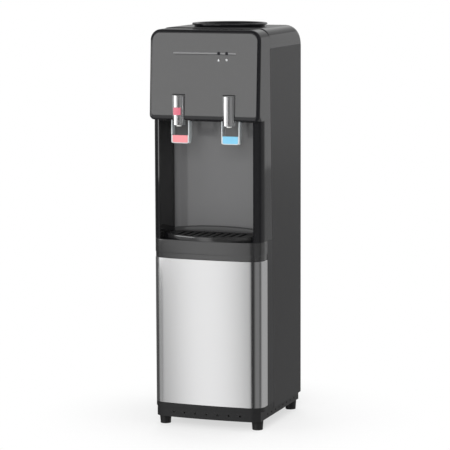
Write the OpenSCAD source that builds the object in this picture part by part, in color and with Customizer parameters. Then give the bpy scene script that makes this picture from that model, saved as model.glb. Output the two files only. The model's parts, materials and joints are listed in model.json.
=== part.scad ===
// Free-standing water cooler that takes an upturned bottle on its top.
// Two push taps, hot and cold, stand over a dispensing bay with a drip tray.
// X runs left to right, Y front to back, Z up; the origin is on the floor under the middle.

/* [Cabinet] */
// Width over the side panels
body_w = 272; // [250:1:300]
// Depth from the lower front panel to the rear panel
body_d = 296; // [285:1:340]
// Height of the feet under the plinth
foot_h = 22; // [16:1:30]
// Height of the plinth
plinth_h = 33; // [28:1:45]
// Height of the lower front panel
panel_h = 346.5; // [300:0.5:400]
// Height of the band between the lower front panel and the bay floor
band_h = 44; // [38:0.5:60]
// Height of the dispensing bay
bay_h = 281.5; // [250:0.5:320]
// Height of the protruding head
head_h = 210; // [200:1:240]
// How far the top cover stands over the head
cover_rise = 1.5; // [1:0.5:6]
// Radius of the cabinet's front corners in plan
corner_r = 29; // [20:1:36]
// How far the middle of the front bows out between its corners
front_bow = 5; // [2:0.5:10]

/* [Walls] */
// Thickness of the steel panels
sheet_t = 1.2; // [0.8:0.1:2]
// Thickness of the moulded walls
wall_t = 2.5; // [2:0.1:3.5]
// Thickness of the lower front panel
panel_t = 2; // [1.5:0.1:3]
// Width of the folded edges of the steel panels
fold_w = 12; // [8:1:18]
// Gap between fixed panels that butt against each other
seam_gap = 0.3; // [0.2:0.1:0.6]
// How far the lower front panel wraps round the sides
wrap_d = 50; // [42:1:60]
// Depth of the moulded front at the plinth
seam_low = 96; // [85:1:110]
// Depth of the moulded front at the top
seam_high = 66; // [60:1:80]

/* [Plinth] */
// How far the plinth's skirt stands in from the sides
skirt_in = 6; // [4:0.5:9]
// Height of the plinth's rim
rim_h = 10; // [7:0.5:14]
// How far the side panels reach down over the plinth
panel_drop = 14; // [8:1:18]
// Radius of a foot at its top
foot_r = 14; // [11:0.5:18]
// Radius of a foot at its bottom
foot_tip_r = 12.5; // [9:0.5:16]
// Height of the rubber pad under a foot
pad_h = 3; // [2:0.5:5]
// Distance of the front feet from the front
foot_front = 35; // [28:1:50]
// Distance of the rear feet from the rear panel
foot_back = 18; // [17:1:40]
// Radius of the vent holes in the skirt
vent_r = 2.2; // [1:0.1:3]
// Distance between vent holes
vent_pitch = 27.7; // [20:0.1:40]

/* [Head] */
// How far the head's lower edge stands in front of the lower panel
head_reach = 7.7; // [5:0.1:12]
// Backward lean of the head's face in degrees
face_tilt = 3.2; // [0:0.1:6]
// Radius of the head's upper corners seen from the front
head_r = 25; // [18:1:35]
// Radius of the head's lower corners seen from the front
chin_r = 12; // [8:1:20]
// Radius of the rounded edge round the face
edge_r = 7; // [4:0.5:9]
// Width of the rim under the face
chin_h = 11; // [8:0.5:16]
// Thickness of the face plate
face_t = 2; // [1.5:0.1:3]
// Length of the groove that holds the lamps
groove_w = 154; // [100:1:200]
// Height of the groove over the head's bottom
groove_z = 155.7; // [130:0.1:180]
// Radius of a lamp lens
lamp_r = 1.7; // [1:0.1:3]
// Sideways place of the first lamp
lamp_x = 35; // [10:1:50]
// Distance between the lamps
lamp_pitch = 19.5; // [12:0.5:25]

/* [Top] */
// Height of the top cover's skirt
cover_h = 47; // [40:1:60]
// Radius of the top cover's rear corner seen from the side
cover_back_r = 46; // [30:1:46]
// Height of the lips that hold the top cover inside the steel panels
lip_h = 9; // [6:1:14]
// Distance of the bottle well from the front
well_y = 172; // [160:1:180]
// Inner radius of the bottle well
well_r = 79; // [74:1:82]
// Depth of the bottle well
well_d = 47; // [45:1:60]
// Outer radius of the collar's lip
collar_r = 89; // [86:0.5:96]
// Height of the collar over the top cover
collar_h = 7.5; // [6:0.5:14]
// Radius of the cup that takes the bottle's neck
neck_r = 32; // [29:0.5:36]

/* [Bay] */
// Half the width of the bay's mouth
bay_hw = 116; // [104:1:120]
// Distance of the bay's back wall from the front
bay_d = 98; // [88:1:99]
// Drop of each side of the bay from its mouth to its back wall
bay_draft = 4; // [0:0.5:10]
// Radius of the bay's rear corners
bay_r = 14; // [6:1:24]
// Height of the arched ledge at the foot of the back wall
ledge_h = 24.5; // [16:0.5:32]
// How much lower the ledge is at its ends
ledge_sag = 6.5; // [3:0.5:10]
// Depth of the arched ledge
ledge_d = 9; // [6:1:12]

/* [Drip tray] */
// Radius of the tray's front edge in plan
tray_arc_r = 170; // [130:1:240]
// Half the width of the drip tray
tray_hw = 104; // [90:1:108]
// How far the tray stands in front of the lower panel
tray_reach = 9; // [4:0.5:14]
// Height of the drip tray
tray_h = 11; // [10:0.5:16]
// Thickness of the tray's walls and floor
tray_wall = 2; // [1.5:0.1:3]
// Thickness of the drip grille
grille_t = 2.5; // [2:0.1:3.5]
// Width of a slot in the grille
slot_w = 8; // [4:0.5:10]
// Distance between slots in the grille
slot_pitch = 19; // [14:0.5:24]

/* [Taps] */
// Distance of each tap from the middle
tap_x = 62; // [52:1:74]
// Distance of the tap's upright axis in front of the lower panel
tap_out = 4; // [3:0.5:6]
// Radius of the tap's upright cover
cover_r = 14.5; // [13:0.5:16]
// Wall of the tap's upright cover
cover_t = 1.5; // [1:0.1:2]
// Top of the tap's cover over the head's bottom
cover_top = 59.5; // [56:0.5:70]
// Bottom of the tap's cover below the head's bottom
cover_low = 10.5; // [6:0.5:16]
// Radius of the tap's upright barrel
barrel_r = 10.5; // [9:0.25:11]
// Bottom of the spout below the head's bottom
spout_low = 14; // [12:0.5:20]
// Height of the tap's water way over the head's bottom
way_z = 41; // [38:0.5:45]
// Radius of the tap's water way
way_r = 8; // [6.5:0.5:9]
// Radius of a paddle's lower corners seen from the front
paddle_r = 6; // [3:0.5:9]
// Half the width of a paddle
paddle_hw = 22.3; // [20:0.1:25]
// Bottom of a paddle below the head's bottom
paddle_low = 54.5; // [50:0.5:70]
// Depth of a paddle's cheeks
cheek_d = 20; // [16:0.5:24]
// Thickness of a paddle's walls
paddle_t = 2.5; // [2:0.1:3]
// Height of the coloured insert in a paddle
insert_h = 17; // [14:0.5:28]
// Distance of the paddle's axle behind the lower panel's front
axle_y = 16; // [14:0.5:18]
// Height of the paddle's axle over the head's bottom
axle_z = 18; // [16:0.5:20]
// Radius of the paddle's axle
axle_r = 2.5; // [2:0.1:3]
// Gap round the pieces that turn or slide
run_gap = 0.35; // [0.3:0.05:0.5]
// Height of the child lock button
lock_h = 17; // [12:0.5:20]
// Half the width of the child lock button
lock_hw = 10; // [8:0.5:11]
// How far the child lock button stands out of the cover
lock_out = 1.5; // [1:0.1:2.5]

/* [Cooling] */
// How far the condenser stands behind the rear panel
coil_reach = 20; // [16:0.5:30]
// Radius of the condenser's tube
coil_r = 2.5; // [2:0.1:3]
// Distance between the condenser's runs
coil_pitch = 42; // [36:1:46]
// Number of the condenser's runs
coil_runs = 12; // [8:2:12]
// Half the length of a run between its bends
coil_hw = 84; // [70:1:90]
// Height of the lowest run
coil_z = 275; // [272:1:300]
// Radius of the condenser's wires
wire_r = 0.8; // [0.6:0.1:1.2]
// Number of wires on each side of the condenser
wire_n = 15; // [7:2:19]
// Lower edge of the rear panel
rear_z = 235; // [220:1:240]
// Radius of the compressor's shell
comp_r = 60; // [50:1:62]
// Height of the compressor's shell
comp_h = 135; // [110:1:150]
// Sideways place of the compressor
comp_x = 15; // [0:1:30]
// Distance of the compressor's middle from the rear panel
comp_back = 76; // [72:1:90]

/* [Tanks] */
// Radius of the cold tank
cold_r = 60; // [50:1:62]
// Height of the cold tank
cold_h = 112; // [90:1:116]
// Wall of the tanks
tank_t = 1.2; // [0.8:0.1:2]
// Radius of the evaporator's tube
evap_r = 3.5; // [3:0.1:4]
// Number of turns of the evaporator
evap_turns = 6; // [4:1:7]
// Half the width of the tank's foam block
foam_hw = 84; // [80:1:90]
// Radius of the hot tank
hot_r = 45; // [38:1:48]
// Height of the hot tank
hot_h = 130; // [100:1:150]

/* [Rear fittings] */
// Radius of the screw shanks
screw_r = 1.6; // [1.2:0.1:2]
// Radius of the pins that a rocker turns on
pin_r = 1.5; // [1:0.1:2]
// Width of a rocker switch's opening
rocker_w = 12; // [10:0.5:14]
// Height of a rocker switch's opening
rocker_h = 19; // [17:0.5:24]
// Tilt of a rocker at rest in degrees
rocker_tilt = 8; // [4:1:10]
// Bore of the cord's gland
gland_r = 3.5; // [2.5:0.1:4.5]
// Radius of the drain's pipe
drain_r = 7; // [5:0.5:8]

/* [Hidden] */

// Smoothness of round faces
$fn = 64;
// A hair that cuts run past a face
eps = 0.01;
// How far open cuts run past the object
past = 30;
// Steps in a rounded outline
arc_n = 10;

hw = body_w / 2;
lock_reach = tap_out + cover_r + lock_out;
overall_d = body_d + lock_reach + coil_reach;
front_y = lock_reach - overall_d / 2;
back_y = front_y + body_d;

panel_z = foot_h + plinth_h;
band_z = panel_z + panel_h;
deck_z = band_z + band_h;
head_z = deck_z + bay_h;
cover_z = head_z + head_h + cover_rise;
skirt_z = cover_z - cover_h;
face_y = front_y - head_reach;
wrap_y = front_y + wrap_d;

// Plan of the cabinet's front: a shallow bow between two round corners
bow_cx = hw - corner_r;
bow_r = (bow_cx * bow_cx + front_bow * front_bow) / (2 * front_bow);
bow_end = asin(bow_cx / (bow_r - corner_r));
bow_cy = front_y + bow_r;
corner_y = bow_cy - (bow_r - corner_r) * cos(bow_end);

well_cy = front_y + well_y;
well_floor_z = cover_z - wall_t - well_d;
tap_y = front_y - tap_out;
pivot_y = front_y + axle_y;
pivot_z = head_z + axle_z;
paddle_y = front_y + 3;
stem_y = pivot_y + 18;
lock_z = head_z + 13;
bracket_y = front_y + 44;
shelf_z = head_z + 20;
foam_z = shelf_z + 2;
tank_top_z = well_floor_z;
suction_x = hw - 24;
hot_x = -58;
hot_top_z = shelf_z - 42;
comp_y = back_y - comp_back;
floor_z = foot_h + 3;
comp_foot_z = floor_z + 14;
mount_in = comp_r - 10;
tail_y = front_y + 62;
drier_y = back_y - 22;
drier_r = 9;
drier_h = 100;
line_hole_r = 10;
comp_z = comp_foot_z + 5;
coil_cy = back_y + coil_reach - 2 * wire_r - coil_r - 0.1;
switch_x = hw - 66;
rocker_y = back_y - 3;
pin_reach = 1;
switch_z = skirt_z - 45;
drier_x = -coil_hw - 28;
drier_top_z = rear_z - 40;
drain_x = 76 - hw;
drain_z = rear_z + 14;
gland_x = hw - 32;
gland_z = rear_z + 16;
screw_x = hw - sheet_t - fold_w / 2;
screw_step = (skirt_z - rear_z - 40) / 4;

gloss_black = "#232325";
satin_black = "#2b2b2d";
face_grey = "#6b6b6e";
sheet_grey = "#4d4e50";
silver = "#c9cacb";
steel = "#b9bcc0";
copper = "#b87345";

// The direction of a vector
function unit(v) = v / norm(v);

// Points on an arc about c from angle a to angle b
function arc(c, r, a, b, n = arc_n) =
    [for (k = [0:n]) c + r * [cos(a + (b - a) * k / n), sin(a + (b - a) * k / n)]];

// Height and depth of the slanted seam between the moulded front and the steel sides
function seam_y(z) = front_y + seam_low + (seam_high - seam_low) * (z - panel_z) / (cover_z - panel_z);

// Outline of the front in plan, drawn in by a distance, back to yb
function front_pts(in, yb) = concat(
    [[hw - in, yb]],
    arc([bow_cx, corner_y], corner_r - in, 0, -90 + bow_end),
    arc([0, bow_cy], bow_r - in, -90 + bow_end, -90 - bow_end, 16),
    arc([-bow_cx, corner_y], corner_r - in, -90 - bow_end, -180),
    [[-hw + in, yb]]);

// Rounded rectangle from z0 up, with its own lower and upper corner radii
function plate_pts(w, z0, z1, r_low, r_up) = concat(
    arc([w - r_low, z0 + r_low], r_low, -90, 0),
    arc([w - r_up, z1 - r_up], r_up, 0, 90),
    arc([-w + r_up, z1 - r_up], r_up, 90, 180),
    arc([-w + r_low, z0 + r_low], r_low, 180, 270));

// Inside of the bay in plan, let out by a distance
function bay_pts(out, y0) = concat(
    [[bay_hw + out, y0]],
    arc([bay_hw - bay_draft - bay_r, front_y + bay_d - bay_r], bay_r + out, 0, 90),
    arc([-bay_hw + bay_draft + bay_r, front_y + bay_d - bay_r], bay_r + out, 90, 180),
    [[-bay_hw - out, y0]]);

// Outline of the drip tray in plan, drawn in by a distance
tray_front_y = front_y - tray_reach;
tray_back_y = front_y + bay_d - ledge_d - 1.5;
function tray_pts(in) = concat(
    arc([0, tray_front_y + tray_arc_r], tray_arc_r - in,
        -90 - asin((tray_hw - in) / (tray_arc_r - in)), -90 + asin((tray_hw - in) / (tray_arc_r - in)), 24),
    arc([tray_hw - 12, tray_back_y - 12], 12 - in, 0, 90, 6),
    arc([-tray_hw + 12, tray_back_y - 12], 12 - in, 90, 180, 6));

// Round a path's corners with short curves
function soft_path(p, r, n = 4) = concat([p[0]],
    [for (i = [1:len(p) - 2])
        let (a = p[i] + r * unit(p[i - 1] - p[i]), b = p[i] + r * unit(p[i + 1] - p[i]))
        for (k = [0:n]) let (t = k / n) (1 - t) * (1 - t) * a + 2 * t * (1 - t) * p[i] + t * t * b],
    [p[len(p) - 1]]);

// Direction of a path at one of its points
function heading(p, i) = unit(p[min(i + 1, len(p) - 1)] - p[max(i - 1, 0)]);

// A round tube swept along a path; ref is a direction that the path never takes
module sweep(p, r, sides = 8, ref = [0.31, 0.52, 0.8]) {
    rings = [for (i = [0:len(p) - 1])
        let (t = heading(p, i), u = unit(cross(t, ref)), v = cross(t, u))
        for (k = [0:sides - 1]) p[i] + r * (cos(360 * k / sides) * u + sin(360 * k / sides) * v)];
    quads = [for (i = [0:len(p) - 2]) for (k = [0:sides - 1])
        let (a = i * sides + k, b = i * sides + (k + 1) % sides) [a, b, b + sides, a + sides]];
    ends = [[for (k = [0:sides - 1]) sides - 1 - k], [for (k = [0:sides - 1]) (len(p) - 1) * sides + k]];
    polyhedron(points = rings, faces = concat(quads, ends));
}

// Lift an outline drawn in plan
module up(z0, z1) {
    translate([0, 0, z0]) linear_extrude(height = z1 - z0) children();
}

// Extrude an outline drawn as seen from the front, from y0 backward
module back_from(y0, depth) {
    translate([0, y0 + depth, 0]) rotate([90, 0, 0]) linear_extrude(height = depth) children();
}

// Extrude an outline drawn as seen from the right side, from x0 to the right
module right_from(x0, width) {
    translate([x0, 0, 0]) rotate([90, 0, 90]) linear_extrude(height = width) children();
}

// A box between two corners
module block(a, b) {
    translate(a) cube(b - a);
}

// A round bar from a point backward along Y
module y_rod(x, y0, z, r, length) {
    translate([x, y0, z]) rotate([-90, 0, 0]) cylinder(r = r, h = length);
}

// A round bar along X, centred on x
module x_rod(x, y, z, r, length) {
    translate([x - length / 2, y, z]) rotate([0, 90, 0]) cylinder(r = r, h = length);
}

// Places drawn on the head's leaning face: its lower edge is z = 0 and its surface is y = 0
module on_face() {
    translate([0, face_y, head_z]) rotate([-face_tilt, 0, 0]) children();
}

// Everything behind the slanted side seam
module behind_seam(shift = 0) {
    right_from(-hw - 1, body_w + 2) polygon([
        [seam_y(0) + shift, 0],
        [seam_y(cover_z + past) + shift, cover_z + past],
        [back_y + past, cover_z + past],
        [back_y + past, 0]]);
}

// The skirt's outline in plan, drawn in from its face
module skirt_plan(in) {
    intersection() {
        polygon(front_pts(1 + in, back_y - in));
        translate([-hw + skirt_in + in, front_y - past])
            square([body_w - 2 * (skirt_in + in), body_d + 2 * past]);
    }
}

// The rim's outline in plan: full width under the moulded front, narrower under the steel sides
module rim_plan(in) {
    polygon(front_pts(in, front_y + seam_low - 2));
    translate([-hw + sheet_t + in, front_y + seam_low - 3])
        square([body_w - 2 * (sheet_t + in), body_d - seam_low + 3 - sheet_t - in]);
}

module base_tray() {
    color(satin_black) difference() {
        union() {
            up(foot_h, panel_z - rim_h + 1) skirt_plan(0);
            up(panel_z - rim_h, panel_z) rim_plan(0);
        }
        up(floor_z, panel_z - rim_h + 3) skirt_plan(3);
        up(panel_z - rim_h + 3, panel_z + 1) rim_plan(3);
        for (i = [-3:3])
            y_rod(i * vent_pitch, front_y - 5, foot_h + 12, vent_r, 20);
        for (i = [1:8])
            x_rod(0, front_y + 40 + i * vent_pitch, foot_h + 9, vent_r, body_w + 10);
    }
}

// Places of the four feet
module at_feet() {
    for (x = [-hw + 20, hw - 20]) {
        translate([x, front_y + foot_front, 0]) children();
        translate([x, back_y - foot_back, 0]) children();
    }
}

module feet() {
    color(satin_black) at_feet() {
        translate([0, 0, pad_h])
            cylinder(r1 = foot_tip_r, r2 = foot_r, h = foot_h - pad_h);
    }
}

module foot_pads() {
    color("#3a3a3a") at_feet() rotate_extrude()
        polygon([[0, 0], [foot_tip_r - 1.5, 0], [foot_tip_r, 1], [foot_tip_r, pad_h], [0, pad_h]]);
}

// One steel side; side is -1 on the left and 1 on the right
module side_panel(side) {
    x_in = side > 0 ? hw - sheet_t : -hw;
    x_fold = side > 0 ? hw - fold_w : -hw;
    fold_y = back_y - 2 * sheet_t - seam_gap;
    color(sheet_grey) difference() {
        intersection() {
            behind_seam(seam_gap);
            union() {
                block([x_in, front_y, panel_z - panel_drop], [x_in + sheet_t, back_y, skirt_z - seam_gap]);
                block([x_fold, fold_y, rear_z], [x_fold + fold_w, fold_y + sheet_t, skirt_z - seam_gap]);
            }
        }
        screw_holes();
    }
}

// Holes of the rear screws, through the rear panel and the folds behind it
module screw_holes() {
    for (x = [-screw_x, screw_x])
        for (i = [0:4])
            y_rod(x, back_y - 20, rear_z + 20 + i * screw_step, screw_r + 0.2, 30);
}

module side_panel_left() {
    side_panel(-1);
}

module side_panel_right() {
    side_panel(1);
}

module rear_panel() {
    in = sheet_t + seam_gap;
    color(sheet_grey) difference() {
        block([-hw + in, back_y - sheet_t, rear_z], [hw - in, back_y, skirt_z - seam_gap]);
        screw_holes();
        for (i = [0:4])
            for (x = [-60, 0, 60])
                block([x - 22, back_y - 5, rear_z + 90 + i * 2 * coil_pitch],
                    [x + 22, back_y + 5, rear_z + 94 + i * 2 * coil_pitch]);
        at_switches() centred_block(rocker_w + 3.4, rocker_h + 3.4, -5, 5);
        y_rod(drain_x, back_y - 5, drain_z, drain_r + 0.2, 10);
        y_rod(gland_x, back_y - 5, gland_z, gland_r + 3, 10);
    }
}

module front_frame() {
    back = front_y + seam_low + 10;
    color(satin_black) difference() {
        up(panel_z, head_z) polygon(front_pts(0, back));
        up(panel_z - 1, head_z + 1) polygon(front_pts(panel_t + wall_t, back + 1));
        up(deck_z, head_z + 1) polygon(front_pts(wall_t, back + 1));
        block([-hw + wall_t, wrap_y + wall_t, panel_z - 1], [hw - wall_t, back + 1, head_z + 1]);
        up(panel_z - 1, deck_z) difference() {
            translate([-hw - 1, front_y - 10]) square([body_w + 2, wrap_d + 10]);
            polygon(front_pts(panel_t, back));
        }
        block([-bay_hw, front_y - 10, band_z], [bay_hw, wrap_y, head_z + 1]);
        behind_seam();
    }
}

// A skin that wraps the front from corner to corner, drawn in by a distance
module wrap_plan(in, thick) {
    intersection() {
        difference() {
            polygon(front_pts(in, back_y));
            polygon(front_pts(thick, back_y + 1));
        }
        translate([-hw - 1, front_y - 10]) square([body_w + 2, wrap_d + 10 - seam_gap]);
    }
}

module lower_front_panel() {
    color(silver) up(panel_z + seam_gap, band_z - seam_gap) wrap_plan(0, panel_t);
}

module tray_housing() {
    crease_z = band_z + 12.5;
    deck_t = 3;
    color(gloss_black) {
        up(band_z, crease_z) wrap_plan(0.8, panel_t);
        up(crease_z, deck_z) wrap_plan(0, panel_t);
        up(deck_z - deck_t, deck_z) intersection() {
            polygon(front_pts(1, back_y));
            translate([-bay_hw + seam_gap, front_y - 10])
                square([2 * (bay_hw - seam_gap), bay_d + wall_t + 16]);
        }
        for (side = [-1, 1])
            up(deck_z - 1, deck_z + tray_h) tray_flank(side);
    }
}

// Raised side of the deck beside the tray, with the tray's curved front
module tray_flank(side) {
    cy = tray_front_y + tray_arc_r;
    x0 = tray_hw + 1;
    y1 = front_y + bay_d - bay_r;
    intersection() {
        polygon(concat(
            [for (k = [0:6]) let (x = x0 + (bay_hw - x0) * k / 6)
                [side * x, cy - sqrt(tray_arc_r * tray_arc_r - x * x)]],
            [[side * bay_hw, y1], [side * x0, y1]]));
        polygon(bay_pts(-seam_gap, front_y - 1));
    }
}

module bay_liner() {
    ledge_hw = bay_hw - bay_draft;
    ledge_r = (ledge_hw * ledge_hw + ledge_sag * ledge_sag) / (2 * ledge_sag);
    color("#5e5e61") {
        up(deck_z, head_z) intersection() {
            difference() {
                polygon(bay_pts(wall_t, front_y - 1));
                polygon(bay_pts(0, front_y - 2));
            }
            polygon(front_pts(wall_t, back_y));
        }
        difference() {
            up(head_z - wall_t, head_z) intersection() {
                polygon(bay_pts(1, front_y - 1));
                polygon(front_pts(wall_t + 1, back_y));
            }
            paddle_openings(head_z - wall_t - 1);
        }
        intersection() {
            back_from(front_y + bay_d - ledge_d, ledge_d + 1)
                translate([0, deck_z + ledge_h - ledge_r]) circle(r = ledge_r, $fn = 512);
            up(deck_z, head_z) polygon(bay_pts(1, front_y - 1));
        }
    }
}

// Outline of the head as seen square to its face, drawn in by a distance
module head_outline(in) {
    polygon(plate_pts(hw - in, in, head_h - in, max(chin_r - in, 2), head_r - in));
}

// The head's solid form back to the side seam, drawn in by a distance
module head_form(in, front, back) {
    lean_back = atan((seam_high - seam_low) / (cover_z - panel_z));
    edge = max(edge_r - in, 1);
    hull() {
        on_face() for (a = [0:22.5:90])
            back_from(front + edge * (1 - cos(a)), eps) head_outline(in + edge * (1 - sin(a)));
        translate([0, seam_y(head_z) + back, head_z]) rotate([-lean_back, 0, 0])
            back_from(-eps, eps) head_outline(in);
    }
}

// Openings that the paddles swing in, through the bay's ceiling and the head's underside
module paddle_openings(z0) {
    for (x = [-tap_x, tap_x])
        block([x - paddle_hw - 2, front_y + 0.5, z0],
            [x + paddle_hw + 2, pivot_y + 18, head_z + wall_t + 1]);
}

// Openings in the head's front for the taps' uprights, and in its underside for the paddles
module tap_openings() {
    for (x = [-tap_x, tap_x])
        block([x - cover_r - 0.5, face_y - 5, head_z - 1],
            [x + cover_r + 0.5, face_y + 20, head_z + cover_top + 0.8]);
    paddle_openings(head_z - 1);
}

module head_shell() {
    front_t = face_t + wall_t;
    color(gloss_black) difference() {
        head_form(0, 0, 0);
        head_form(wall_t, front_t, 1);
        block([-hw - 1, face_y - 20, head_z - 10], [hw + 1, back_y, head_z]);
        on_face() back_from(-1, face_t + 1) face_outline(0);
        tap_openings();
    }
}

// The face plate's outline, drawn in by a distance
module face_outline(in) {
    polygon(plate_pts(hw - edge_r - in, chin_h + in, head_h - edge_r - 1 - in,
        max(chin_r - edge_r, 3), head_r - edge_r));
}

module head_face() {
    lamp_z = groove_z;
    color(face_grey) difference() {
        on_face() difference() {
            back_from(0, face_t) face_outline(0.1);
            block([-groove_w / 2, -1, lamp_z - 0.8], [groove_w / 2, 0.6, lamp_z + 0.8]);
            for (x = [lamp_x, lamp_x + lamp_pitch])
                y_rod(x, -1, lamp_z, lamp_r, face_t + 2);
        }
        tap_openings();
    }
}

module indicator_lenses() {
    color("#dfe7ea") on_face() for (x = [lamp_x, lamp_x + lamp_pitch])
        y_rod(x, 0.2, groove_z, lamp_r, face_t - 0.2);
}

// The top cover's solid form, drawn in by a distance
module cover_form(in) {
    r_side = head_r - in;
    r_back = cover_back_r - in;
    top = cover_z - in;
    intersection() {
        back_from(front_y, body_d + 10) polygon(concat(
            [[-hw + in, skirt_z - in], [hw - in, skirt_z - in]],
            arc([hw - head_r, cover_z - head_r], r_side, 0, 90),
            arc([-hw + head_r, cover_z - head_r], r_side, 90, 180)));
        right_from(-hw - 1, body_w + 2) polygon(concat(
            [[front_y, top], [front_y, skirt_z - in], [back_y - in, skirt_z - in]],
            arc([back_y - cover_back_r, cover_z - cover_back_r], r_back, 0, 90)));
    }
}

module top_cover() {
    color(satin_black) difference() {
        union() {
            difference() {
                intersection() {
                    cover_form(0);
                    behind_seam(seam_gap);
                }
                cover_form(wall_t);
            }
            cover_lips();
        }
        translate([0, well_cy, skirt_z - 10]) cylinder(r = well_r + wall_t, h = cover_h + 20);
    }
}

// Lips under the cover's edge that stand inside the steel panels
module cover_lips() {
    in = sheet_t + wall_t;
    for (x = [-hw + sheet_t, hw - in])
        block([x, front_y + seam_low, skirt_z - lip_h],
            [x + wall_t, back_y - fold_w - wall_t, skirt_z + wall_t]);
    block([-hw + 2 * fold_w, back_y - in, skirt_z - lip_h],
        [hw - 2 * fold_w, back_y - sheet_t, skirt_z + wall_t]);
}

module bottle_well() {
    flange_z = cover_z - wall_t;
    color("#e6e7e8") intersection() {
        translate([0, well_cy, 0]) rotate_extrude() polygon([
            [neck_r + 3, well_floor_z],
            [well_r + wall_t, well_floor_z],
            [well_r + wall_t, flange_z - 2],
            [well_r + wall_t + 8, flange_z - 2],
            [well_r + wall_t + 8, flange_z],
            [well_r, flange_z],
            [well_r, well_floor_z + wall_t],
            [neck_r + 3, well_floor_z + wall_t]]);
        union() {
            translate([0, well_cy, well_floor_z - 1]) cylinder(r = well_r + wall_t, h = cover_h);
            cover_form(wall_t);
        }
    }
}

// The collar lifts off with the probe in its neck cup
module bottle_collar() {
    rim_z = cover_z + run_gap;
    top_z = cover_z + collar_h;
    skirt_r = well_r - run_gap;
    color(gloss_black) translate([0, well_cy, 0]) rotate_extrude() polygon([
        [collar_r - 5, rim_z],
        [collar_r - 4.5, rim_z + 2.5],
        [collar_r, rim_z + 3.5],
        [collar_r, top_z - 1.5],
        [collar_r - 1.5, top_z],
        [collar_r - 8.5, top_z],
        [well_r - 3, top_z - 5],
        [well_r - 7, top_z - 13],
        [neck_r + 5, top_z - 34],
        [neck_r, top_z - 39],
        [neck_r, top_z - 50],
        [neck_r + 2, top_z - 50],
        [neck_r + 2, top_z - 40],
        [neck_r + 6, top_z - 36],
        [well_r - 5, top_z - 15.5],
        [skirt_r - 2, top_z - 24],
        [skirt_r, top_z - 24],
        [skirt_r, rim_z]]);
}

module feed_probe() {
    base_z = cover_z + collar_h - 50;
    color("#eef0f1") translate([0, well_cy, 0]) difference() {
        rotate_extrude() polygon(concat(
            [[4, base_z - 12], [8, base_z - 12], [8, base_z], [neck_r - 0.2, base_z],
                [neck_r - 0.2, base_z + 2.5],
                [11, base_z + 2.5], [8.5, base_z + 6], [8.5, base_z + 20]],
            arc([0, base_z + 20], 8.5, 0, 80, 6),
            [[0, base_z + 28.5], [0, base_z + 24], [4, base_z + 22]]));
        for (a = [0, 60, 120])
            translate([0, 0, base_z + 14]) rotate([0, 90, a]) cylinder(r = 2.2, h = 30, center = true);
    }
}

module cold_tank() {
    base_z = tank_top_z - cold_h;
    color(steel) translate([0, well_cy, 0]) rotate_extrude() polygon(concat(
        [[neck_r + 2, tank_top_z], [neck_r + 2, tank_top_z - 6], [cold_r - 8, tank_top_z - 6]],
        arc([cold_r - 8, tank_top_z - 14], 8, 90, 0, 6),
        arc([cold_r - 14, base_z + 14], 14, 0, -90, 8),
        [[0, base_z], [0, base_z + tank_t]],
        arc([cold_r - 14, base_z + 14], 14 - tank_t, -90, 0, 8),
        arc([cold_r - 8, tank_top_z - 14], 8 - tank_t, 0, 90, 6),
        [[neck_r + 2 - tank_t, tank_top_z - 6 - tank_t], [neck_r + 2 - tank_t, tank_top_z]]));
}

module tank_insulation() {
    cavity_r = cold_r + 2 * evap_r + 1.5;
    color("#f1f1ee") difference() {
        block([-foam_hw, well_cy - foam_hw, foam_z], [foam_hw, well_cy + foam_hw, tank_top_z - 1]);
        translate([0, well_cy, tank_top_z - cold_h]) cylinder(r = cavity_r, h = cold_h + 5);
        translate([0, well_cy, foam_z - 1]) cylinder(r = line_hole_r, h = 60);
    }
}

module evaporator_coil() {
    turn_n = 20;
    r = (cold_r + evap_r + 0.4) / cos(180 / turn_n);
    pitch = 2 * evap_r + 4;
    z0 = tank_top_z - cold_h + 16;
    color(copper) sweep([for (k = [0:evap_turns * turn_n])
        [r * cos(360 * k / turn_n), well_cy + r * sin(360 * k / turn_n), z0 + pitch * k / turn_n]],
        evap_r, 6, [0, 0, 1]);
}

module tank_shelf() {
    color(steel) difference() {
        union() {
            block([-hw + sheet_t, well_cy - foam_hw, shelf_z], [hw - sheet_t, back_y - 12, foam_z]);
            for (x = [-hw + sheet_t, hw - sheet_t - 2])
                block([x, well_cy - foam_hw, shelf_z - fold_w], [x + 2, back_y - 12, foam_z]);
        }
        translate([0, well_cy, shelf_z - 1]) cylinder(r = line_hole_r, h = 10);
        translate([suction_x, comp_y, shelf_z - 1]) cylinder(r = 6, h = 10);
    }
}

module hot_tank() {
    base_z = hot_top_z - hot_h;
    color(steel) translate([hot_x, well_cy, 0]) rotate_extrude() polygon(concat(
        [[0, shelf_z], [11, shelf_z], [11, hot_top_z]],
        arc([hot_r - 16, hot_top_z - 16], 16, 90, 0, 8),
        arc([hot_r - 16, base_z + 16], 16, 0, -90, 8),
        [[0, base_z]]));
}

module heater_band() {
    z0 = hot_top_z - hot_h + 35;
    color("#c9b27c") translate([hot_x, well_cy, 0]) {
        rotate_extrude() polygon([
            [hot_r + 0.2, z0], [hot_r + 3.2, z0], [hot_r + 3.2, z0 + 40], [hot_r + 0.2, z0 + 40]]);
        translate([-9, hot_r + 2, z0 + 12]) cube([18, 9, 16]);
    }
}

module tank_link_pipe() {
    base_z = tank_top_z - cold_h;
    color("#d8d9da") sweep(soft_path([
        [0, well_cy, base_z - 0.3],
        [0, well_cy, hot_top_z + 14],
        [hot_x + 22, well_cy, hot_top_z + 14],
        [hot_x + 22, well_cy, hot_top_z + 0.3]], 9), 5);
}

// Hose from a tank to the tap's tail
module hose(x, from) {
    tail = [x, tail_y, head_z + way_z];
    sweep(soft_path(concat([tail + [0, 0.3, 0]], [tail + [0, 16, 0]], from), 9), 4.5);
}

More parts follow.
